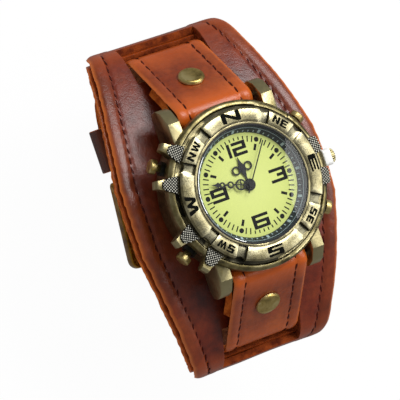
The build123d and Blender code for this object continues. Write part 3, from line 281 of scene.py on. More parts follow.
def node(tree, kind, inputs, stops=(), **settings):
    """Add one shader node. Stops are a ramp's places and colours."""
    made = tree.nodes.new("ShaderNode" + kind)
    for key, value in settings.items():
        setattr(made, key, value)
    give(tree, made, inputs)
    for place, (position, shade) in enumerate(stops):
        elements = made.color_ramp.elements
        element = elements[place] if place < 2 else elements.new(position)
        element.position = position
        element.color = colour(shade) if isinstance(shade, str) else (shade, shade, shade, 1)
    return made


def material(name):
    """New material with its tree, its shader and its object coordinates."""
    made = bpy.data.materials.new(name)
    made.use_nodes = True
    tree = made.node_tree
    return made, tree, tree.nodes["Principled BSDF"], node(tree, "TexCoord", {}).outputs["Object"]


def cloud(tree, where, size, detail, roughness=0.5):
    """Noise from 0 to 1 whose largest spots have a real size."""
    inputs = {"Vector": where, "Scale": 1 / size, "Detail": detail, "Roughness": roughness}
    return node(tree, "TexNoise", inputs).outputs[0]


def scaled(tree, where, *scale):
    """Coordinates stretched along each axis."""
    return node(tree, "Mapping", {"Vector": where, "Scale": scale}).outputs[0]


def show(made, share, one, two):
    """Make a mix of two shaders the material's surface."""
    tree = made.node_tree
    lit = node(tree, "MixShader", {0: share, 1: one.outputs[0], 2: two.outputs[0]})
    tree.links.new(lit.outputs[0], tree.nodes["Material Output"].inputs["Surface"])
    return made


def ramp(tree, share, *stops):
    """Colours or greys along a value from 0 to 1."""
    return node(tree, "ValToRGB", {0: share}, stops).outputs[0]


def remap(tree, value, low, high, to_low, to_high):
    """A value's range brought to another one, and held there."""
    return node(tree, "MapRange", {0: value, 1: low, 2: high, 3: to_low, 4: to_high}).outputs[0]


def uneven(tree, noise_value, low, high):
    """A roughness that goes from low to high with the noise's usual reach."""
    return remap(tree, noise_value, 0.3, 0.7, low, high)


def mix(tree, share, one, two, blend="MIX"):
    """Colour between two, each of them a socket, an sRGB hex value or a linear grey."""
    inputs = {0: share}
    for key, shade in ((6, one), (7, two)):
        if isinstance(shade, str):
            shade = colour(shade)
        elif isinstance(shade, float):
            shade = (shade, shade, shade, 1)
        inputs[key] = shade
    return node(tree, "Mix", inputs, data_type="RGBA", blend_type=blend).outputs[2]


def dents(tree, height, depth, strength, under=None):
    """Bump of a real depth, over another one."""
    inputs = {"Height": height, "Distance": depth, "Strength": strength}
    if under:
        inputs["Normal"] = under
    return node(tree, "Bump", inputs).outputs[0]


def burnished_leather(name, deep, base, pale, stretched, rubbed_edge, shine, worn=0.5):
    """Vegetable-tanned cowhide, aniline dyed and glazed by hand: uneven brown under a waxy shine,
    fine pores and creases, lighter where a bend pulls the dye apart."""
    made, tree, shader, where = material(name)
    cloud_size, pore_size, crease_size = 14 * MM, 0.45 * MM, 1.6 * MM
    clouds = cloud(tree, where, cloud_size, 5.0, 0.6)
    streaks = cloud(tree, where, crease_size, 3.0)
    tone = ramp(tree, clouds, (0.3, deep), (0.5, base), (0.74, pale))
    streak_tone = ramp(tree, streaks, (0.35, 0.80), (0.65, 1.06))
    mottled = mix(tree, 1.0, tone, streak_tone, "MULTIPLY")
    pull, rub = [node(tree, "Attribute", {}, attribute_name=label).outputs["Fac"]
                 for label in ("stretch", "rim")]
    pulled = mix(tree, pull, mottled, stretched)
    pores, creases = [
        node(tree, "TexVoronoi", {"Vector": where, "Scale": 1 / size}, feature=feature).outputs["Distance"]
        for size, feature in ((pore_size, "F1"), (crease_size, "DISTANCE_TO_EDGE"))
    ]
    fine = dents(tree, pores, 0.03 * MM, 0.6)
    coarse = dents(tree, ramp(tree, creases, (0.0, 0.0), (0.12, 1.0)), 0.035 * MM, 0.35, fine)
    give(tree, shader, {
        "Base Color": mix(tree, rub, pulled, rubbed_edge), "Specular IOR Level": shine,
        "Roughness": uneven(tree, clouds, 0.3, 0.3 + 0.2 * worn),
        "Normal": dents(tree, streaks, 0.12 * MM, 0.5, coarse),
    })
    return made


def raw_leather(name, dark, light, fibre):
    """Undyed side of the hide, cut edge or flesh side: matt, with loose fibres that catch no shine."""
    made, tree, shader, where = material(name)
    patch_size, fibre_depth = 2.2 * MM, 0.25 * MM
    patches = cloud(tree, where, patch_size, 6.0)
    fibres = cloud(tree, where, fibre, 8.0, 0.75)
    give(tree, shader, {
        "Base Color": ramp(tree, patches, (0.35, dark), (0.62, light)),
        "Normal": dents(tree, fibres, fibre_depth, 0.8), "Roughness": 0.82, "Specular IOR Level": 0.1,
    })
    return made


def waxed_thread(name, dark, light):
    """Waxed polyester thread: short soft highlights on a tight twist."""
    made, tree, shader, where = material(name)
    twist_size, twist_depth = 0.9 * MM, 0.05 * MM
    twist = node(tree, "TexWave", {"Vector": where, "Scale": 1 / twist_size, "Distortion": 0.5},
                 bands_direction="DIAGONAL").outputs[1]
    give(tree, shader, {
        "Base Color": ramp(tree, twist, (0.2, dark), (0.8, light)), "Roughness": 0.5,
        "Normal": dents(tree, twist, twist_depth, 0.5), "Specular IOR Level": 0.15,
    })
    return made


def antiqued_metal(name, dark_patina_and_shade, base, bright, roughness, hollow=0.7 * MM, painted_shade_within=0.0, shade_and_notches_below=0.0):
    """Plated casting, blackened and then worn back by rubbing: hollows darken, partly real blackening and
    partly painted shade, and convex edges lighten, partly worn brass and partly painted highlight.
    """
    made, tree, shader, where = material(name)
    stain_size, grain_size, grain_depth = 3.5 * MM, 0.35 * MM, 0.02 * MM
    # Ambient occlusion darkens the hollows: partly blackening that the real casting keeps there, partly
    # painted shade.
    shelter = node(tree, "AmbientOcclusion", {"Distance": hollow}, samples=8, only_local=True).outputs["AO"]
    stains = cloud(tree, where, stain_size, 6.0, 0.65)
    stain_tone = ramp(tree, stains, (0.28, dark_patina_and_shade), (0.48, base), (0.72, bright))
    aged_and_shaded = mix(tree, ramp(tree, shelter, (0.45, 0.0), (0.92, 1.0)), dark_patina_and_shade, stain_tone)
    # Painted shade: inside a radius the casting turns dark, standing in for the shadow in the channel between
    # the bezel and the raised flange.
    if painted_shade_within:
        reach = 25 * MM
        flat = scaled(tree, where, 1 / reach, 1 / reach, 0.0)
        radius = node(tree, "VectorMath", {0: flat}, operation="LENGTH").outputs["Value"]
        band = painted_shade_within / reach
        aged_and_shaded = mix(tree, ramp(tree, radius, (band - 0.008, 0.85), (band + 0.012, 0.0)), aged_and_shaded, dark_patina_and_shade)
    # Darker below a height: blackening in the bezel's notch floors, and painted shade on the bezel's lower
    # outer wall where it drops to the flange.
    if shade_and_notches_below:
        height = node(tree, "SeparateXYZ", {0: where}).outputs[2]
        aged_and_shaded = mix(tree, remap(tree, height, shade_and_notches_below, shade_and_notches_below + 0.4 * MM, 0.9, 0.0), aged_and_shaded, dark_patina_and_shade)
    # Convex edges lightened: partly worn brass, partly painted highlight.
    edges = node(tree, "NewGeometry", {}).outputs["Pointiness"]
    rubbed_and_highlit = mix(tree, ramp(tree, edges, (0.515, 0.0), (0.56, 0.8)), aged_and_shaded, bright)
    specks = cloud(tree, where, grain_size, 4.0)
    give(tree, shader, {
        "Base Color": rubbed_and_highlit, "Metallic": 1.0, "Normal": dents(tree, specks, grain_depth, 0.5),
        "Roughness": uneven(tree, specks, roughness - 0.08, roughness + 0.12),
    })
    return made


def turned_metal(name, base, shade, roughness):
    """Machined and brushed metal: fine parallel lines that stretch the highlights."""
    made, tree, shader, where = material(name)
    line_size = 0.8 * MM
    brushed = cloud(tree, scaled(tree, where, 1.0, 12.0, 1.0), line_size, 3.0)
    give(tree, shader, {
        "Base Color": ramp(tree, brushed, (0.3, shade), (0.7, base)), "Metallic": 1.0,
        "Roughness": uneven(tree, brushed, roughness - 0.05, roughness + 0.1),
    })
    return made


def printed_dial(name, base, pale, edge):
    """Matt lacquer on a brass disc: a very fine even tooth, a little deeper towards the edge."""
    made, tree, shader, where = material(name)
    reach, tooth_size = 13 * MM, 0.25 * MM
    centred = scaled(tree, where, 1 / reach, 1 / reach, 0.0)
    spread = node(tree, "TexGradient", {"Vector": centred}, gradient_type="SPHERICAL").outputs[1]
    tone = ramp(tree, spread, (0.0, edge), (0.35, base), (1.0, pale))
    speck = ramp(tree, cloud(tree, where, tooth_size, 2.0), (0.3, 0.95), (0.7, 1.0))
    give(tree, shader, {"Base Color": mix(tree, 1.0, tone, speck, "MULTIPLY"), "Roughness": 0.55})
    return made


def lacquer(name, base, shade, roughness, shine=0.5):
    """Painted, moulded or printed surface: one colour with a slight unevenness in tone and gloss."""
    made, tree, shader, where = material(name)
    speck_size = 0.6 * MM
    specks = cloud(tree, where, speck_size, 3.0)
    give(tree, shader, {
        "Base Color": ramp(tree, specks, (0.3, shade), (0.7, base)),
        "Roughness": uneven(tree, specks, roughness, roughness + 0.1), "Specular IOR Level": shine,
    })
    return made


def mineral_glass(name):
    """Hardened soda-lime watch glass: clear, polished and faintly green, with a sharp reflection."""
    made, tree, shader, where = material(name)
    give(tree, shader, {
        "Base Color": colour("#F6FBF8"), "Roughness": 0.0, "IOR": 1.5, "Specular IOR Level": 0.08,
        "Transmission Weight": 1.0,
    })
    rays = node(tree, "LightPath", {})
    clear = node(tree, "BsdfTransparent", {})
    seen = node(tree, "Math", {0: rays.outputs["Is Camera Ray"], 1: rays.outputs["Is Transmission Ray"]},
                operation="MAXIMUM")
    return show(made, seen.outputs[0], clear, shader)


cuff_hide = burnished_leather(
    "burnished_cowhide_cuff", "#421206", "#6E240B", "#8E3D16", "#A5470F", "#CC6A24", shine=0.5)
strap_hide = burnished_leather(
    "burnished_cowhide_strap", "#74290C", "#8C3B13", "#A6501D", "#CC5C16", "#C2601E", shine=0.4, worn=0.3)
keeper_hide = burnished_leather(
    "dark_cowhide_keeper", "#341609", "#562611", "#70381C", "#7A4020", "#6A351C", shine=0.1)
cut_edge = raw_leather("cut_leather_edge", "#9A4312", "#D47028", 0.5 * MM)
# Darker copy of the cut edge for the slots' walls: painted shade.
slot_shade_leather = raw_leather("shaded_slot_leather", "#571F0A", "#8C3F16", 0.5 * MM)
flesh_side = raw_leather("suede_flesh_side", "#5A2E16", "#804A28", 0.3 * MM)
seam_thread = waxed_thread("waxed_seam_thread", "#2A0805", "#5A1A0E")
# Dark inside 18.55 mm: painted shade in the channel beside the bezel.
casting_brass = antiqued_metal("antiqued_brass_casting", "#202225", "#857A50", "#B4A97E", 0.36,
                               painted_shade_within=18.55 * MM)
# Wider occlusion and a dark lower part: partly blackening, partly painted shade along the bezel's outer wall.
bezel_brass = antiqued_metal("antiqued_brass_bezel", "#262723", "#948A62", "#D6CEA8", 0.3,
                             hollow=1.2 * MM, shade_and_notches_below=dial_top + 2.2 * MM)
rivet_brass = antiqued_metal("antiqued_brass_rivet", "#4A4022", "#B8A05C", "#DCCB90", 0.36, hollow=0.4 * MM)
buckle_brass = antiqued_metal("antiqued_brass_buckle", "#2A1905", "#8C6014", "#C2923A", 0.3)
knurl_steel = antiqued_metal("knurled_plated_steel", "#4A4A48", "#8E8C80", "#B8B6A8", 0.4, hollow=0.15 * MM)
knurl_groove = lacquer("blackened_knurl_grooves", "#1B1C1F", "#0D0E10", 0.6, shine=0.2)
# Flat black on the pusher tubes: painted shadow in the recess between the guards.
shadow_black = lacquer("painted_recess_shadow", "#15140F", "#0C0B09", 0.45)
dial_lacquer = printed_dial("dial_lacquer", "#DFE67E", "#E8EE8A", "#D2DA74")
print_black = lacquer("black_dial_print", "#0D0E0A", "#080906", 0.6, shine=0.05)
hand_black = lacquer("black_hand_lacquer", "#0C0C0B", "#070707", 0.35, shine=0.3)
chapter_paint = lacquer("blue_grey_chapter_lacquer", "#1A262E", "#131D24", 0.4, shine=0.2)
# Pale marks on the chapter ring: painted reflections of the dial's ticks and dots in the polished ring.
chapter_print = lacquer("pale_blue_painted_reflections", "#B9CCD2", "#9FB4BC", 0.5, shine=0.2)
crystal_glass = mineral_glass("mineral_glass")
clip_plastic = lacquer("white_moulded_acetal", "#F1F1EE", "#E6E6E2", 0.35)
plated_steel = turned_metal("brushed_steel_plate", "#C6C5BE", "#8F8E88", 0.3)
movement_brass = turned_metal("turned_movement_brass", "#D9B668", "#B08D45", 0.28)
soft_iron = turned_metal("ground_soft_iron", "#77787A", "#565759", 0.42)
copper_wire = turned_metal("enamelled_copper_wire", "#C8743C", "#8E4A22", 0.35)
nitrile = lacquer("black_nitrile_rubber", "#1C1C1C", "#141414", 0.7)
holder_plastic = lacquer("moulded_movement_plastic", "#DDDACF", "#D0CCC0", 0.5)
board_lacquer = lacquer("green_circuit_lacquer", "#1F5A33", "#174828", 0.4)


# Leather

def cuff_line(along):
    """Place and outward normal of the cuff's outer face at a length along it from the middle."""
    side = 1 if along >= 0 else -1
    run = abs(along)
    if run <= cuff_wide:
        tilt = run / cuff_radius
        y, z = cuff_radius * math.sin(tilt), cuff_centre_z + cuff_radius * math.cos(tilt)
    elif run <= cuff_wide + cuff_round:
        tilt = shoulder_tilt + (run - cuff_wide) / shoulder_radius
        y, z = shoulder_y + shoulder_radius * math.sin(tilt), shoulder_z + shoulder_radius * math.cos(tilt)
    else:
        tilt = math.pi / 2
        y, z = cuff_high.y, shoulder_z - (run - cuff_wide - cuff_round)
    return Vector((0, side * y, z)), Vector((0, side * math.sin(tilt), math.cos(tilt)))


def cuff_reach(along):
    """Half width of the cuff at a length along it, with its rounded corners."""
    share = min(abs(along) / cuff_half_length, 1)
    stretches = zip(cuff_outline_shares, cuff_outline_shares[1:])
    for (start_share, start_width), (end_share, end_width) in stretches:
        if share <= end_share:
            part = (share - start_share) / (end_share - start_share)
            width = cuff_half_width * (start_width + part * (end_width - start_width))
            break
    past = max(abs(along) - (cuff_half_length - cuff_corner), 0)
    return width - cuff_corner + math.sqrt(max(cuff_corner ** 2 - past ** 2, 0))


def rounded_route(points, radii, step):
    """Points and directions along a bent strip's middle line, with an arc of its radius at each corner."""
    route = [Vector(points[0])]
    for before, corner, after, radius in zip(points, points[1:], points[2:], radii):
        corner = Vector(corner)
        arrive = (corner - Vector(before)).normalized()
        leave = (Vector(after) - corner).normalized()
        turn = arrive.angle_signed(leave)
        reach = radius * math.tan(abs(turn) / 2)
        first = corner - arrive * reach
        normal = Vector((-arrive.y, arrive.x)) * (-1 if turn > 0 else 1)
        centre = first + normal * radius
        count = max(int(abs(turn) * radius / step), 3)
        for place in range(count + 1):
            angle = -turn * place / count
            route.append(centre + Matrix.Rotation(angle, 2) @ (first - centre))
    route.append(Vector(points[-1]))
    fine = []
    for one, two in zip(route, route[1:]):
        length = (two - one).length
        if length < hairline:
            continue
        count = max(int(length / step), 1)
        fine += [one.lerp(two, place / count) for place in range(count)]
    fine.append(route[-1])
    return fine


def spaced(marks, step):
    """Even places between marks, with every mark kept."""
    places = [marks[0]]
    for one, two in zip(marks, marks[1:]):
        count = max(round((two - one) / step), 1)
        places += [one + (two - one) * place / count for place in range(1, count + 1)]
    return places


def leather_sheet(name, frames, columns, thickness, keep, relief, stretch, border, hides, flip=False):
    """Lay a flat grid of leather along a line, then give it its thickness and soft edges.
    frames are the (place, normal, length) of each row, columns(row) the x of each column,
    border the width of the paler band outside the seam, and hides the grain, edge and flesh side."""
    border_share, rubbed_width = 0.07, 0.8 * MM
    count_x, count_s = len(columns(0)), len(frames)
    sheet = start(name, bpy.ops.mesh.primitive_grid_add, x_subdivisions=count_x - 1,
                  y_subdivisions=count_s - 1, size=2)
    spots = [(round((v.co.x + 1) / 2 * (count_x - 1)), round((v.co.y + 1) / 2 * (count_s - 1)))
             for v in sheet.data.vertices]
    across = [columns(row) for row in range(count_s)]
    pulls, rims = [], []
    for vertex, (column, row) in zip(sheet.data.vertices, spots):
        place, normal, along = frames[row]
        x = across[row][column]
        lift = relief(along, x, across[row][-1])
        vertex.co = place + normal * lift + Vector((x, 0, 0))
        pulls.append(stretch(along))
        inwards = across[row][-1] - abs(x)
        rims.append(border_share * (inwards < border) + max(0.0, 1 - inwards / rubbed_width))
    for label, values in (("stretch", pulls), ("rim", rims)):
        attribute = sheet.data.attributes.new(label, "FLOAT", "POINT")
        attribute.data.foreach_set("value", values)
    dropped = set()
    for face in sheet.data.polygons:
        corners = [spots[v] for v in face.vertices]
        along = sum(frames[row][2] for _, row in corners) / len(corners)
        x = sum(across[row][column] for column, row in corners) / len(corners)
        if not keep(along, x):
            dropped.add(face.index)
    if dropped:
        edit(sheet, "FACE", lambda face: face.index in dropped)
        bpy.ops.mesh.delete(type="FACE")
        done()
    if flip:
        edit(sheet)
        bpy.ops.mesh.flip_normals()
        done()
    put_on(sheet, *hides)
    modify(sheet, "SOLIDIFY", thickness=thickness, offset=-1, use_even_offset=True,
           material_offset=2, material_offset_rim=1)
    round_off(sheet, thickness * 0.12, 2, 50)
    smooth(sheet, 60)
    return sheet


seam_inset = 3.9 * MM
strap_seam_inset = 3.1 * MM
stitch_pitch = 2.35 * MM


def sewn_relief(edge, along, inset):
    """Height of leather near a seam: a puckered groove along it and a raised border outside it."""
    groove_depth, pucker_depth, groove_width, swell_height = 0.28 * MM, 0.09 * MM, 0.5 * MM, 0.2 * MM
    depth = groove_depth + pucker_depth * math.cos(2 * math.pi * along / stitch_pitch)
    swell = swell_height * math.sin(math.pi * min(max(edge / inset, 0), 1))
    return swell - depth * math.exp(-((edge - inset) / groove_width) ** 2)


def waves(x, along, size, height, seed):
    """Gentle unevenness of a hide, or the ragged line of a cut edge."""
    return height * noise.noise(Vector((x / size, along / size, seed)))


def shade_slots(sheet):
    """Give the walls of the slots a darker raw leather: painted shade, as these walls lie in shadow."""
    put_on(sheet, slot_shade_leather)
    for face in sheet.data.polygons:
        within = abs(face.center.x) < slot_half_width + 0.3 * MM and face.center.z > flat_z * 4
        if face.material_index == 1 and within:
            face.material_index = 3


def make_cuff():
    """Both layers of the wide cuff, with the slots that the strap goes through."""
    step = 0.6 * MM
    half = spaced([0, slot_near, slot_far, cuff_half_length - cuff_corner, cuff_half_length], step)
    rows = [-place for place in reversed(half[1:])] + half

    def keep_beside(far):
        return lambda along, x: not (slot_near < abs(along) < far and abs(x) < slot_half_width)

    def columns(row, seed=1.7, beyond=0.0):
        """X of each column; a column runs along each slot's side."""
        reach = cuff_reach(rows[row]) + beyond + waves(0, rows[row], 1.3 * MM, 0.24 * MM, seed)
        count = round((cuff_half_width - slot_half_width) / step)
        outer_step = (reach - slot_half_width) / count
        right = spaced([0, slot_half_width], step)
        right += [slot_half_width + outer_step * place for place in range(1, count + 1)]
        return [-x for x in reversed(right[1:])] + right

    def stretch(along):
        return 0.55 * max(0.0, 1 - abs(abs(along) - cuff_wide - cuff_round / 2) / (6 * MM))

    def outer_relief(along, x, reach):
        edge = cuff_reach(along) - abs(x)
        roll = -0.4 * MM * max(0.0, 1 - edge / (1.2 * MM)) ** 2
        uneven_skin = waves(x, along, 11 * MM, 0.16 * MM, 3.1)
        return sewn_relief(edge, along, seam_inset) + roll + uneven_skin - 0.12 * MM

    def lining_relief(along, x, reach):
        return waves(x, along, 9 * MM, 0.08 * MM, 7.7) - outer_leather - 0.1 * MM

    def lining_columns(row):
        return columns(row, seed=8.3, beyond=0.45 * MM)

    frames = [(*cuff_line(along), along) for along in rows]
    layers = (
        ("cuff_leather", columns, outer_leather - 0.1 * MM, slot_far,
         outer_relief, seam_inset, "burnished_leather", "cuff_outer"),
        ("cuff_lining_leather", lining_columns, lining_leather - 0.15 * MM, slot_far - 1.0 * MM,
         lining_relief, 0, "lining_leather", "cuff_lining"),
    )
    for name, edges, thickness, far, relief, border, slot, replaced in layers:
        sheet = leather_sheet(name, frames, edges, thickness, keep_beside(far), relief, stretch, border,
                              (cuff_hide, cut_edge, flesh_side))
        shade_slots(sheet)
        hand_over(sheet, "case", slot, replaced=[replaced])


def slope_point(along, above):
    """Point of the sloping stretch beside the case, from the spring bar's axis, in Y and Z."""
    y = bar_y + along * math.cos(strap_slope) + above * math.sin(strap_slope)
    z = bar_z - along * math.sin(strap_slope) + above * math.cos(strap_slope)
    return y, z


def folded_start():
    """Middle line of the end that is folded round the spring bar."""
    upper = (side_y - slope_point(0, fold_radius)[0]) / math.cos(strap_slope)
    under = fold_radius - strap_leather - 0.1 * MM
    points = [
        slope_point(under_length, under), slope_point(6 * MM, under), slope_point(0.75 * MM, -fold_radius),
        slope_point(-fold_radius, -fold_radius), slope_point(-fold_radius, fold_radius),
        slope_point(upper, fold_radius),
    ]
    turn = fold_radius * 0.98
    return points, [2.5 * MM, 2.5 * MM, turn, turn, 4 * MM]


def route_frames(route, side):
    """Rows of a strap's sheet: place on the grain side, normal and length along the route."""
    rows, along = [], 0.0
    for place, point in enumerate(route):
        ahead = route[min(place + 1, len(route) - 1)] - route[max(place - 1, 0)]
        ahead.normalize()
        normal = Vector((-ahead.y, ahead.x)) * side
        if place:
            along += (point - route[place - 1]).length
        grain = point + normal * strap_leather / 2
        rows.append((Vector((0, grain.x, grain.y)), Vector((0, normal.x, normal.y)), along))
    return rows


def strap_reach(height):
    """Half width of the strap at a height, as it tapers towards the buckle."""
    share = (taper_start_z - height) / (taper_start_z - taper_end_z)
    return strap_half + (buckle_half - strap_half) * min(max(share, 0), 1)


def strap_sheet(name, points, radii, side, tip=0.0, end_height=0.0):
    """One half of the strap, with a groove along each seam and a bright stretched fold at the lugs."""
    step = 0.5 * MM
    frames = route_frames(rounded_route(points, radii, step), side)
    while tip and frames[-1][0].z > end_height:
        frames.pop()
    length = frames[-1][2]
    fold_at = under_length + fold_radius * 2.5
    dive_at, pulled_length = 41 * MM, 7 * MM
    count = 44

    def columns(row):
        place, _, along = frames[row]
        reach = strap_reach(place.z) - 0.1 * MM + waves(0, along, 1.2 * MM, 0.12 * MM, side * 2.1)
        left = length - along
        if tip and left < tip:
            reach *= max(math.sqrt(max(1 - (1 - left / tip) ** 2, 0)), 0.12)
        return [-reach + 2 * reach * column / count for column in range(count + 1)]

    def relief(along, x, reach):
        edge = reach - abs(x)
        roll = -0.3 * MM * max(0.0, 1 - edge / (0.9 * MM)) ** 2
        seam = sewn_relief(edge, along, strap_seam_inset) * 0.7
        return seam + roll + waves(x, along, 8 * MM, 0.08 * MM, side * 5.3) - 0.1 * MM

    def stretch(along):
        fold = max(0.0, 1 - abs(along - fold_at) / pulled_length)
        dive = max(0.0, 1 - abs(along - dive_at) / pulled_length)
        return 0.85 * fold + 0.45 * dive

    sheet = leather_sheet(name, frames, columns, strap_leather - 0.12 * MM, lambda along, x: True, relief,
                          stretch, strap_seam_inset, (strap_hide, cut_edge, flesh_side), flip=side < 0)
    return sheet, frames


def cut_out(piece, cutter):
    """Cut one piece's shape out of another and drop the cutter."""
    modify(piece, "BOOLEAN", object=cutter, operation="DIFFERENCE", solver="EXACT")
    bpy.data.objects.remove(cutter)


def make_strap():
    """Both halves of the strap, closed below the wrist."""
    points, radii = folded_start()
    turn_y = hinge_y - hinge_fold
    over_z = flat_z + 2 * hinge_fold
    return_z = flat_z + strap_leather + 0.1 * MM
    buckle_points = points + [
        (side_y, flat_z), (turn_y, flat_z), (turn_y, over_z), (hinge_y + 0.75 * MM, over_z),
        (hinge_y + 6 * MM, return_z), (19.5 * MM, return_z),
    ]
    turn = hinge_fold * 0.98
    buckle_radii = radii + [side_corner, turn, turn, 2.5 * MM, 2.5 * MM]
    upper, upper_rows = strap_sheet("strap_buckle_half_leather", buckle_points, buckle_radii, 1)
    slot_size, slot_y = (3.2 * MM, 7.6 * MM, 9 * MM), 8.6 * MM
    cut_out(upper, block("tongue_slot", slot_size, (0, slot_y, flat_z + hinge_fold)))
    hand_over(upper, "case", "burnished_leather", replaced=["strap_buckle_half"])
    outside = strap_leather + 0.1 * MM
    tail_points = [(-y, z) for y, z in points] + [
        (-side_y, flat_z), (-7 * MM, flat_z), (1 * MM, tail_z), (side_y + outside, tail_z),
        (side_y + outside, tail_z + side_corner + 2 * outside),
    ]
    tail_radii = radii + [side_corner, 2.5 * MM, 2.5 * MM, side_corner + outside]
    lower, lower_rows = strap_sheet("strap_tail_half_leather", tail_points, tail_radii, -1, tip=4.5 * MM,
                                    end_height=9.2 * MM)
    # Round holes, and the one that the tongue has drawn long
    hole_y, hole_pitch, punch_depth = 1.1 * MM, 7 * MM, 8 * MM
    holes = [(24, 1.3 * MM, hole_y + hole_pitch * place, tail_z + 1 * MM, 1) for place in (-2, -1, 1, 2)]
    for vertices, radius, y, z, length in holes + [(32, 1.35 * MM, hole_y, tail_z, 1.75)]:
        punch = start("punch", bpy.ops.mesh.primitive_cylinder_add, vertices=vertices, radius=radius,
                      depth=punch_depth, location=(0, y, z), scale=(1, length, 1))
        bpy.ops.object.transform_apply(location=False, rotation=False, scale=True)
        cut_out(lower, punch)
    hand_over(lower, "case", "burnished_leather", replaced=["strap_tail_half"])
    return upper_rows, lower_rows


def make_keeper():
    """Free loop of dark leather round both strap layers."""
    wall, corner = 1.5 * MM, 2.9 * MM
    half, low, high = keeper_high.x + 0.45 * MM, keeper_low.z, keeper_high.z
    loop = block("keeper_leather", (2 * half, keeper_high.y - keeper_low.y, high - low),
                 (0, (keeper_low.y + keeper_high.y) / 2, (low + high) / 2))
    edit(loop, "FACE", lambda face: abs(face.normal.y) > 0.9)
    bpy.ops.mesh.delete(type="ONLY_FACE")
    done()
    edit(loop, "EDGE", lambda edge: abs((edge.verts[0].co - edge.verts[1].co).normalized().y) > 0.9)
    bpy.ops.mesh.bevel(offset=corner, segments=6)
    done()
    put_on(loop, keeper_hide, cut_edge, flesh_side)
    modify(loop, "SOLIDIFY", thickness=wall, offset=-1, material_offset=2, material_offset_rim=1)
    round_off(loop, 0.35 * MM, 3, 50)
    smooth(loop, 50)
    hand_over(loop, "keeper", "keeper_leather", replaced=["strap_keeper"])


# Seams

def sew(name, frames, reach, inset, sink, first=-math.inf, last=math.inf):
    """Tight stitches inside both edges of a sheet: one modelled stitch, thick in the middle, copied to each
    place on the grain side. reach(along, place) is the sheet's half width."""
    length, thread = 2.4 * MM, 0.25 * MM
    slants = (math.radians(-3), math.radians(7))
    places = []
    for side in (-1, 1):
        count, wanted = 0, first
        for (one, normal, along), (two, _, _) in zip(frames, frames[1:]):
            ahead = (two - one).normalized()
            if along < wanted or along > last or ahead.length < 0.5:
                continue
            turn = Matrix((ahead, ahead.cross(normal).normalized(), normal)).transposed().to_4x4()
            spot = one + Vector((side * (reach(along, one) - inset), 0, 0)) - normal * sink
            places.append(Matrix.Translation(spot) @ turn @ Matrix.Rotation(slants[count % 2], 4, "Z"))
            count, wanted = count + 1, along + stitch_pitch
    stitch = start("stitch", bpy.ops.mesh.primitive_uv_sphere_add, segments=8, ring_count=6, radius=1)
    edit(stitch, "VERT")
    bpy.ops.transform.resize(value=(length / 2, thread, thread * 0.8))
    done()
    seam = copies(name, stitch, places)
    smooth(seam, 80)
    hand_over(seam, "case", "burnished_leather", seam_thread)


def make_seams(upper_rows, lower_rows):
    """Seams of the cuff and of both strap halves."""
    rows = spaced([-cuff_half_length + 2.5 * MM, cuff_half_length - 2.5 * MM], 0.3 * MM)
    cuff_rows = [(*cuff_line(along), along) for along in rows]
    sew("cuff_seams", cuff_rows, lambda along, place: cuff_reach(along), seam_inset, 0.36 * MM)
    for name, frames in (("strap_buckle_half_seams", upper_rows), ("strap_tail_half_seams", lower_rows)):
        sew(name, frames, lambda along, place: strap_reach(place.z), strap_seam_inset, 0.26 * MM,
            first=1 * MM, last=frames[-1][2] - 30 * MM)


# Case, bezel and guards

guard_angles = [310.0, 287.5, 251.5, 229.0]
crown_guard_angles = [78.5, 101.5]


def guard_plate(name, outer, inner_half, outer_half, clocks):
    """Cross-cut plates, one at each clock angle: square points between dark grooves. A plate reaches
    from the case to the outer radius, and its half width narrows on the way."""
    inner, corner = 18.0 * MM, 0.45 * MM
    point_height = 0.16 * MM
    low, high = guard_low.z, guard_high.z - point_height
    pitch, span = 0.5 * MM, 6.0 * MM
    middle = (0, (inner + outer) / 2, (low + high) / 2)
    plate = block("guard", (span, span, high - low), middle, math.radians(45))
    put_on(plate, knurl_groove, knurl_steel)
    edit(plate, "FACE", lambda face: face.normal.z > 0.9)
    bpy.ops.mesh.subdivide(number_cuts=round(span / pitch) - 1)
    bpy.ops.mesh.inset(thickness=0.12 * MM, depth=point_height, use_individual=True)
    plate.active_material_index = 1
    bpy.ops.object.material_slot_assign()
    slope = (inner_half - outer_half) / (outer - inner)
    sides = [
        ((0, inner, 0), (0, -1, 0)), ((0, outer, 0), (0, 1, 0)),
        ((outer_half, outer, 0), (1, slope, 0)), ((-outer_half, outer, 0), (-1, slope, 0)),
        ((outer_half - corner, outer, 0), (1, 1, 0)), ((corner - outer_half, outer, 0), (-1, 1, 0)),
    ]
    for place, normal in sides:
        bpy.ops.mesh.select_all(action="SELECT")
        bpy.ops.mesh.bisect(plane_co=place, plane_no=normal, use_fill=True, clear_outer=True)
    done()
    return copies(name, plate, [at_clock(clock) for clock in clocks])


def make_guards():
    """Knurled plates beside the pushers, and shorter ones beside the crown."""
    long_plates = guard_plate("long_plates", 21.7 * MM, 2.1 * MM, 1.1 * MM, guard_angles)
    short_plates = guard_plate("short_plates", 20.3 * MM, 2.1 * MM, 1.8 * MM, crown_guard_angles)
    guards = join("guard_knurling", [long_plates, short_plates])
    smooth(guards, 20)
    hand_over(guards, "case", "polished_steel", replaced=["knurled_guards"])


def rounded(outline, radius):
    """Outline with each corner cut to a small curve."""
    points = [Vector(point) for point in outline]
    curved = []
    for before, corner, after in zip(points[-1:] + points[:-1], points, points[1:] + points[:1]):
        reach_in = min(radius, (before - corner).length * 0.45)
        reach_out = min(radius, (after - corner).length * 0.45)
        first = corner + (before - corner).normalized() * reach_in
        last = corner + (after - corner).normalized() * reach_out
        curved += [first, (first + corner * 2 + last) / 4, last]
    return curved


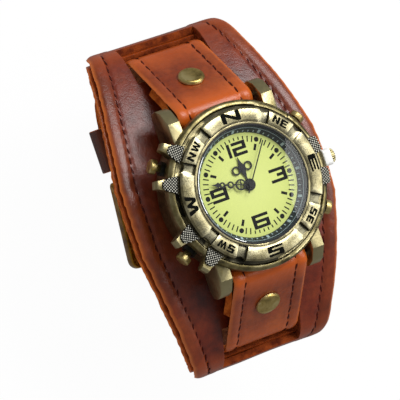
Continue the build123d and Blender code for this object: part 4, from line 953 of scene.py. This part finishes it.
def glyph(name, outlines, thickness, corner=0.1 * MM):
    """Flat sign with its holes, from closed outlines, as a thin mesh."""
    curve = bpy.data.curves.new(name, "CURVE")
    curve.dimensions = "2D"
    curve.fill_mode = "BOTH"
    curve.extrude = thickness / 2
    for outline in outlines:
        points = rounded(outline, corner)
        spline = curve.splines.new("POLY")
        spline.points.add(len(points) - 1)
        for point, (x, y) in zip(spline.points, points):
            point.co = (x, y, 0, 1)
        spline.use_cyclic_u = True
    alone(named(bpy.data.objects.new(name, curve), name))
    bpy.ops.object.convert(target="MESH")
    sign = bpy.context.object
    edit(sign, "VERT")
    bpy.ops.mesh.remove_doubles(threshold=0.001 * MM)
    bpy.ops.mesh.normals_make_consistent(inside=False)
    done()
    return sign


def square_sign(sign, w, h, t, b):
    """Outlines of a square-cut figure or letter, from its size and the widths of its stems and bars."""
    m = h / 2
    low, high = m - b / 2, m + b / 2
    six = [[(0, 0), (w, 0), (w, high), (t, high), (t, h - b), (w, h - b), (w, h), (0, h)],
           [(t, b), (w - t, b), (w - t, low), (t, low)]]
    return {
        "1": [[(0, 0), (w, 0), (w, h), (0, h)]],
        "2": [[(0, h), (w, h), (w, low), (t, low), (t, b), (w, b), (w, 0), (0, 0), (0, high), (w - t, high),
               (w - t, h - b), (0, h - b)]],
        "3": [[(0, h), (w, h), (w, 0), (0, 0), (0, b), (w - t, b), (w - t, low), (w * 0.42, low),
               (w * 0.42, high), (w - t, high), (w - t, h - b), (0, h - b)]],
        "6": six,
        "9": [[(w - x, h - y) for x, y in outline] for outline in six],
        "N": [[(0, 0), (t, 0), (t, h - 1.6 * b), (w - t, 0), (w, 0), (w, h), (w - t, h), (w - t, 1.6 * b),
               (t, h), (0, h)]],
        "E": [[(0, 0), (w, 0), (w, b), (t, b), (t, low), (w * 0.92, low), (w * 0.92, high), (t, high),
               (t, h - b), (w, h - b), (w, h), (0, h)]],
        "S": [[(w, h), (0, h), (0, low), (w - t, low), (w - t, b), (0, b), (0, 0), (w, 0), (w, high),
               (t, high), (t, h - b), (w, h - b)]],
        "W": [[(0, h), (t, h), (w * 0.30, h * 0.32), (w * 0.44, h), (w * 0.56, h), (w * 0.70, h * 0.32),
               (w - t, h), (w, h), (w * 0.80, 0), (w * 0.62, 0), (w * 0.5, h * 0.55), (w * 0.38, 0),
               (w * 0.20, 0)]],
    }[sign]


# Width of a sign as a share of the others' width
sign_shares = {"1": 0.18, "2": 0.85, "W": 1.3}


def write(name, word, width, height, stem, bar, gap, place, thickness, corner=0.1 * MM):
    """One word of square-cut signs, centred on its place, from one sign's width and height,
    the widths of its stems and bars, and the gap between two signs."""
    pieces, x = [], 0.0
    for sign in word:
        wide = width * sign_shares.get(sign, 1.0)
        outlines = square_sign(sign, wide, height, stem, bar)
        pieces += [[(px + x, py - height / 2) for px, py in outline] for outline in outlines]
        x += wide + gap
    shift = (x - gap) / 2
    pieces = [[(px - shift, py) for px, py in outline] for outline in pieces]
    sign = glyph(name, pieces, thickness, corner)
    settle(sign, place)
    return sign


# Width of one letter and height of the word in mm, clockwise from the top
compass_points = [
    ("N", 4.8, 2.5), ("NE", 1.8, 1.8), ("E", 4.0, 2.1), ("SE", 1.7, 1.8),
    ("S", 4.0, 2.4), ("SW", 1.75, 1.8), ("W", 3.7, 2.5), ("NW", 1.9, 1.8),
]


def make_bezel():
    """Bezel with rounded edges and the compass letters sunk in its blocks."""
    soften("compass_bezel", "compass_bezel_ring", "bezel", bezel_brass, 0.22 * MM, angle=25)
    slope = math.atan((crest_top - bezel_outer_top) / (bezel_outer - crest_radius))
    radius = 16.2 * MM
    height = crest_top - (radius - crest_radius) * math.tan(slope) + hairline
    words = []
    for place, (word, width, tall) in enumerate(compass_points):
        stem, bar, corner = (1.05, 0.23 * tall, 0.3) if len(word) == 1 else (0.58, 0.4, 0.2)
        words.append(write(f"compass_{word}", word, width * MM, tall * MM, stem * MM, bar * MM, 0.34 * MM,
                           at_clock(45 * place, radius, height, slope), 0.06 * MM, corner * MM))
    hand_over(join("compass_letters", words), "bezel", "black_lacquer", print_black)


def make_case():
    """Case casting and the pushers' heads with their edges rounded."""
    soften("case_body", "case_casting", "case", casting_brass, 0.16 * MM)
    for hour in (2, 4, 8, 10):
        button = f"pusher_{hour}"
        soften(button, button + "_head", button, rivet_brass, 0.1 * MM)


def make_springs():
    """Return springs of the pushers, each a copy with a mesh of its own; nothing here shortens them as a
    pusher goes in.
    """
    for hour in (2, 4, 8, 10):
        spring = copied(f"pusher_spring_{hour}", f"pusher_{hour}_return_spring")
        smooth(spring, 30)
        hand_over(spring, "case", "polished_steel", plated_steel, replaced=[f"pusher_spring_{hour}"])
        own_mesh(spring)


# Dial

def make_dial_print():
    """Minute track, hour dots and bars, and four square numerals, printed on the dial."""
    print_height, tick_width = 0.04 * MM, 0.27 * MM
    dot_radius, dot_place = 0.58 * MM, 10.84 * MM
    bar_width, bar_length, bar_place = 0.62 * MM, 1.5 * MM, 8.98 * MM
    numeral = [4.2 * MM, 3.25 * MM, 0.88 * MM, 0.7 * MM, 0.5 * MM]
    level = dial_top + print_height / 2
    dotted = [hour for hour in range(12) if hour not in (0, 6)]
    kinds = (("long_ticks", 1.4 * MM, 10.72 * MM, False), ("short_ticks", 0.75 * MM, 11 * MM, True))
    tracks = []
    for name, length, radius, near in kinds:
        tick = block("tick", (tick_width, length, print_height))
        minutes = [minute for minute in range(60) if (minute % 5 or minute // 5 not in dotted)
                   and (min(minute % 30, 30 - minute % 30) < 3) == near]
        tracks.append(copies(name, tick, [at_clock(6 * minute, radius, level) for minute in minutes]))
    dot = start("dot", bpy.ops.mesh.primitive_cylinder_add, vertices=24, radius=dot_radius,
                depth=print_height)
    dots = copies("hour_dots", dot, [at_clock(30 * hour, dot_place, level) for hour in dotted])
    barred = (1, 2, 4, 5, 7, 8, 10, 11)
    bar = block("bar", (bar_width, bar_length, print_height))
    bars = copies("hour_bars", bar, [at_clock(30 * hour, bar_place, level) for hour in barred])
    places = (("12", 0, 8.7), ("3", 7.8, 0), ("6", 0, -8.7), ("9", -7.8, 0))
    numerals = [write(f"numeral_{word}", word, *numeral, Matrix.Translation((x * MM, y * MM, level)),
                      print_height) for word, x, y in places]
    hand_over(join("dial_print", tracks + [dots, bars] + numerals), "case", "black_lacquer", print_black)


def make_chapter_reflections():
    """Pale marks on the sloping chapter ring, painted reflections of the dial's ticks and dots in the
    polished ring, longer at each fifth minute, and a fine line outside them.
    """
    slope = math.atan((chapter_high - chapter_low) / (chapter_outer - chapter_inner))
    mark_height = 0.04 * MM
    short_up, long_up, ring_up = 0.6 * MM, 0.85 * MM, 1.75 * MM

    def on_slope(clock, up):
        radius = chapter_inner + up * math.cos(slope)
        height = chapter_low + up * math.sin(slope) + mark_height / 2
        return at_clock(clock, radius, height, -slope)

    shorts = copies("short_marks", block("short", (0.22 * MM, 0.6 * MM, mark_height)),
                    [on_slope(6 * minute, short_up) for minute in range(60) if minute % 5])
    blocks = copies("long_marks", block("long", (0.6 * MM, 1.1 * MM, mark_height)),
                    [on_slope(30 * hour, long_up) for hour in range(12)])
    line = start("fine_line", bpy.ops.mesh.primitive_torus_add, major_segments=120, minor_segments=6,
                 major_radius=chapter_inner + ring_up * math.cos(slope), minor_radius=0.05 * MM)
    settle(line, Matrix.Translation((0, 0, chapter_low + ring_up * math.sin(slope))))
    hand_over(join("chapter_marks", [shorts, blocks, line]), "case", "chapter_print", chapter_print)


# Buckle and rivets

def make_hardware():
    """Buckle, rivet caps and stop clip with their edges rounded."""
    soften("buckle_frame", "buckle_frame_bar", "buckle_frame", buckle_brass, 0.7 * MM, 4, 40)
    soften("buckle_tongue", "buckle_tongue_pin", "buckle_tongue", buckle_brass, 0.3 * MM, 3)
    soften("rivet_caps", "rivet_cap_domes", "case", rivet_brass, 0.15 * MM)
    soften("crown_stop_clip", "stop_clip", "stop_clip", clip_plastic, 0.25 * MM, 3, slot="white_plastic")


# What each CAD node that still shows is finished with
node_finishes = [
    (crystal_glass, ["crystal"]), (dial_lacquer, ["dial"]), (chapter_paint, ["chapter_ring"]),
    (hand_black, ["hour_hand", "minute_hand", "second_hand"]), (casting_brass, ["crown", "crown_tube"]),
    (shadow_black, ["pusher_tubes"]), (rivet_brass, ["rivet_posts"]), (buckle_brass, ["buckle_hinge_pin"]),
    (nitrile, ["case_back_gasket", "crystal_gasket", "crown_gasket"]), (holder_plastic, ["movement_holder"]),
    (soft_iron, ["motor_stator", "motor_rotor", "coil_core"]), (copper_wire, ["coil_winding"]),
    (board_lacquer, ["circuit_board"]),
    (plated_steel, ["spring_bars", "case_back", "bezel_ring", "quartz_can", "battery", "battery_clip",
                    "movement_screws", "setting_stem"]),
    (movement_brass, ["cannon_pinion", "minute_wheel", "hour_wheel", "setting_wheel", "centre_wheel",
                      "third_wheel", "second_wheel", "fifth_wheel", "main_plate", "train_bridge"]),
]


def finish_other_nodes():
    """Leave the other CAD nodes as they are, each with its real finish."""
    for finish, names in node_finishes:
        for name in names:
            nodes[name].data.materials.clear()
            put_on(nodes[name], finish)
            smooth(nodes[name], 30)


# Stage

def white_floor():
    """Seamless white paper: white to the camera, darker in metal, with a faint shadow."""
    made, tree, shader, where = material("white_studio_paper")
    paper_tooth = 2 * MM
    rays = node(tree, "LightPath", {}).outputs
    seen = node(tree, "Math", {0: rays["Is Camera Ray"], 1: 0.97}, operation="MULTIPLY").outputs[0]
    share = node(tree, "Math", {0: seen, 1: rays["Is Glossy Ray"]}, operation="MAXIMUM").outputs[0]
    give(tree, shader, {
        "Base Color": ramp(tree, cloud(tree, where, paper_tooth, 2.0), (0.3, "#FAFAFA"), (0.7, "#FFFFFF")),
        "Roughness": 0.8,
    })
    glow = node(tree, "Emission", {"Color": mix(tree, rays["Is Camera Ray"], 0.3, 1.0), "Strength": 1.0})
    return show(made, share, shader, glow)


# Axes of the photograph's view in the watch's frame, and the point that it looks at
view_right = Vector((0.870, -0.322, 0.373)).normalized()
view_back = Vector((-0.385, 0.028, 0.923)).normalized()
view_up = view_back.cross(view_right).normalized()
view_right = view_up.cross(view_back).normalized()
view_distance = 600 * MM
view_centre = Vector((0, 0, dial_top)) - view_right * 11.18 * MM - view_up * 3.47 * MM
pixels_per_mm = 4.32
image_width = 400
sensor_width = 36.0

# Lamps: place along the view's axes and size in metres, power in watts
soft_boxes = [
    ("side_window", (0.77, 0.12, 0.34), (0.45, 0.5), 2.0), ("top_strip", (0.34, 0.60, 0.50), (0.6, 0.3), 3.8),
    ("front_card", (0.48, 0.42, 0.57), (0.2, 0.2), 2.2),
]


def make_stage():
    """Floor, room light, lamps and the photograph's camera."""
    floor = start("studio_floor", bpy.ops.mesh.primitive_grid_add, x_subdivisions=4, y_subdivisions=4,
                  size=6.0)
    put_on(floor, white_floor())
    world = bpy.data.worlds.new("studio")
    bpy.context.scene.world = world
    world.use_nodes = True
    tree = world.node_tree
    rays = node(tree, "LightPath", {}).outputs
    room_grey, mirrored_grey = 0.34, (0.26, 0.26, 0.27, 1)
    room = mix(tree, rays["Is Glossy Ray"], room_grey, mirrored_grey)
    give(tree, tree.nodes["Background"], {"Color": mix(tree, rays["Is Camera Ray"], room, 1.0)})
    target = Vector((0, 0, dial_top * 0.9))
    for name, (right, up, back), size, power in soft_boxes:
        away = view_right * right + view_up * up + view_back * back
        lamp = start(name, bpy.ops.object.light_add, type="AREA", location=target + away)
        lamp.data.shape = "RECTANGLE"
        lamp.data.size, lamp.data.size_y = size
        lamp.data.energy = power
        lamp.rotation_euler = away.to_track_quat("Z", "Y").to_euler()
    camera = bpy.data.cameras.new("photo_camera")
    camera.sensor_width = sensor_width
    camera.lens = sensor_width * view_distance / (image_width / pixels_per_mm * MM)
    camera.clip_start = 0.01
    holder = named(bpy.data.objects.new("photo_camera", camera), "photo_camera")
    turn = Matrix((view_right, view_up, view_back)).transposed().to_4x4()
    holder.matrix_world = Matrix.Translation(view_centre + view_back * view_distance) @ turn
    bpy.context.scene.camera = holder
    bpy.context.scene.view_settings.view_transform = "Standard"


make_stage()
make_cuff()
upper_rows, lower_rows = make_strap()
make_seams(upper_rows, lower_rows)
make_keeper()
make_case()
make_springs()
make_guards()
make_bezel()
make_dial_print()
make_chapter_reflections()
make_hardware()
finish_other_nodes()
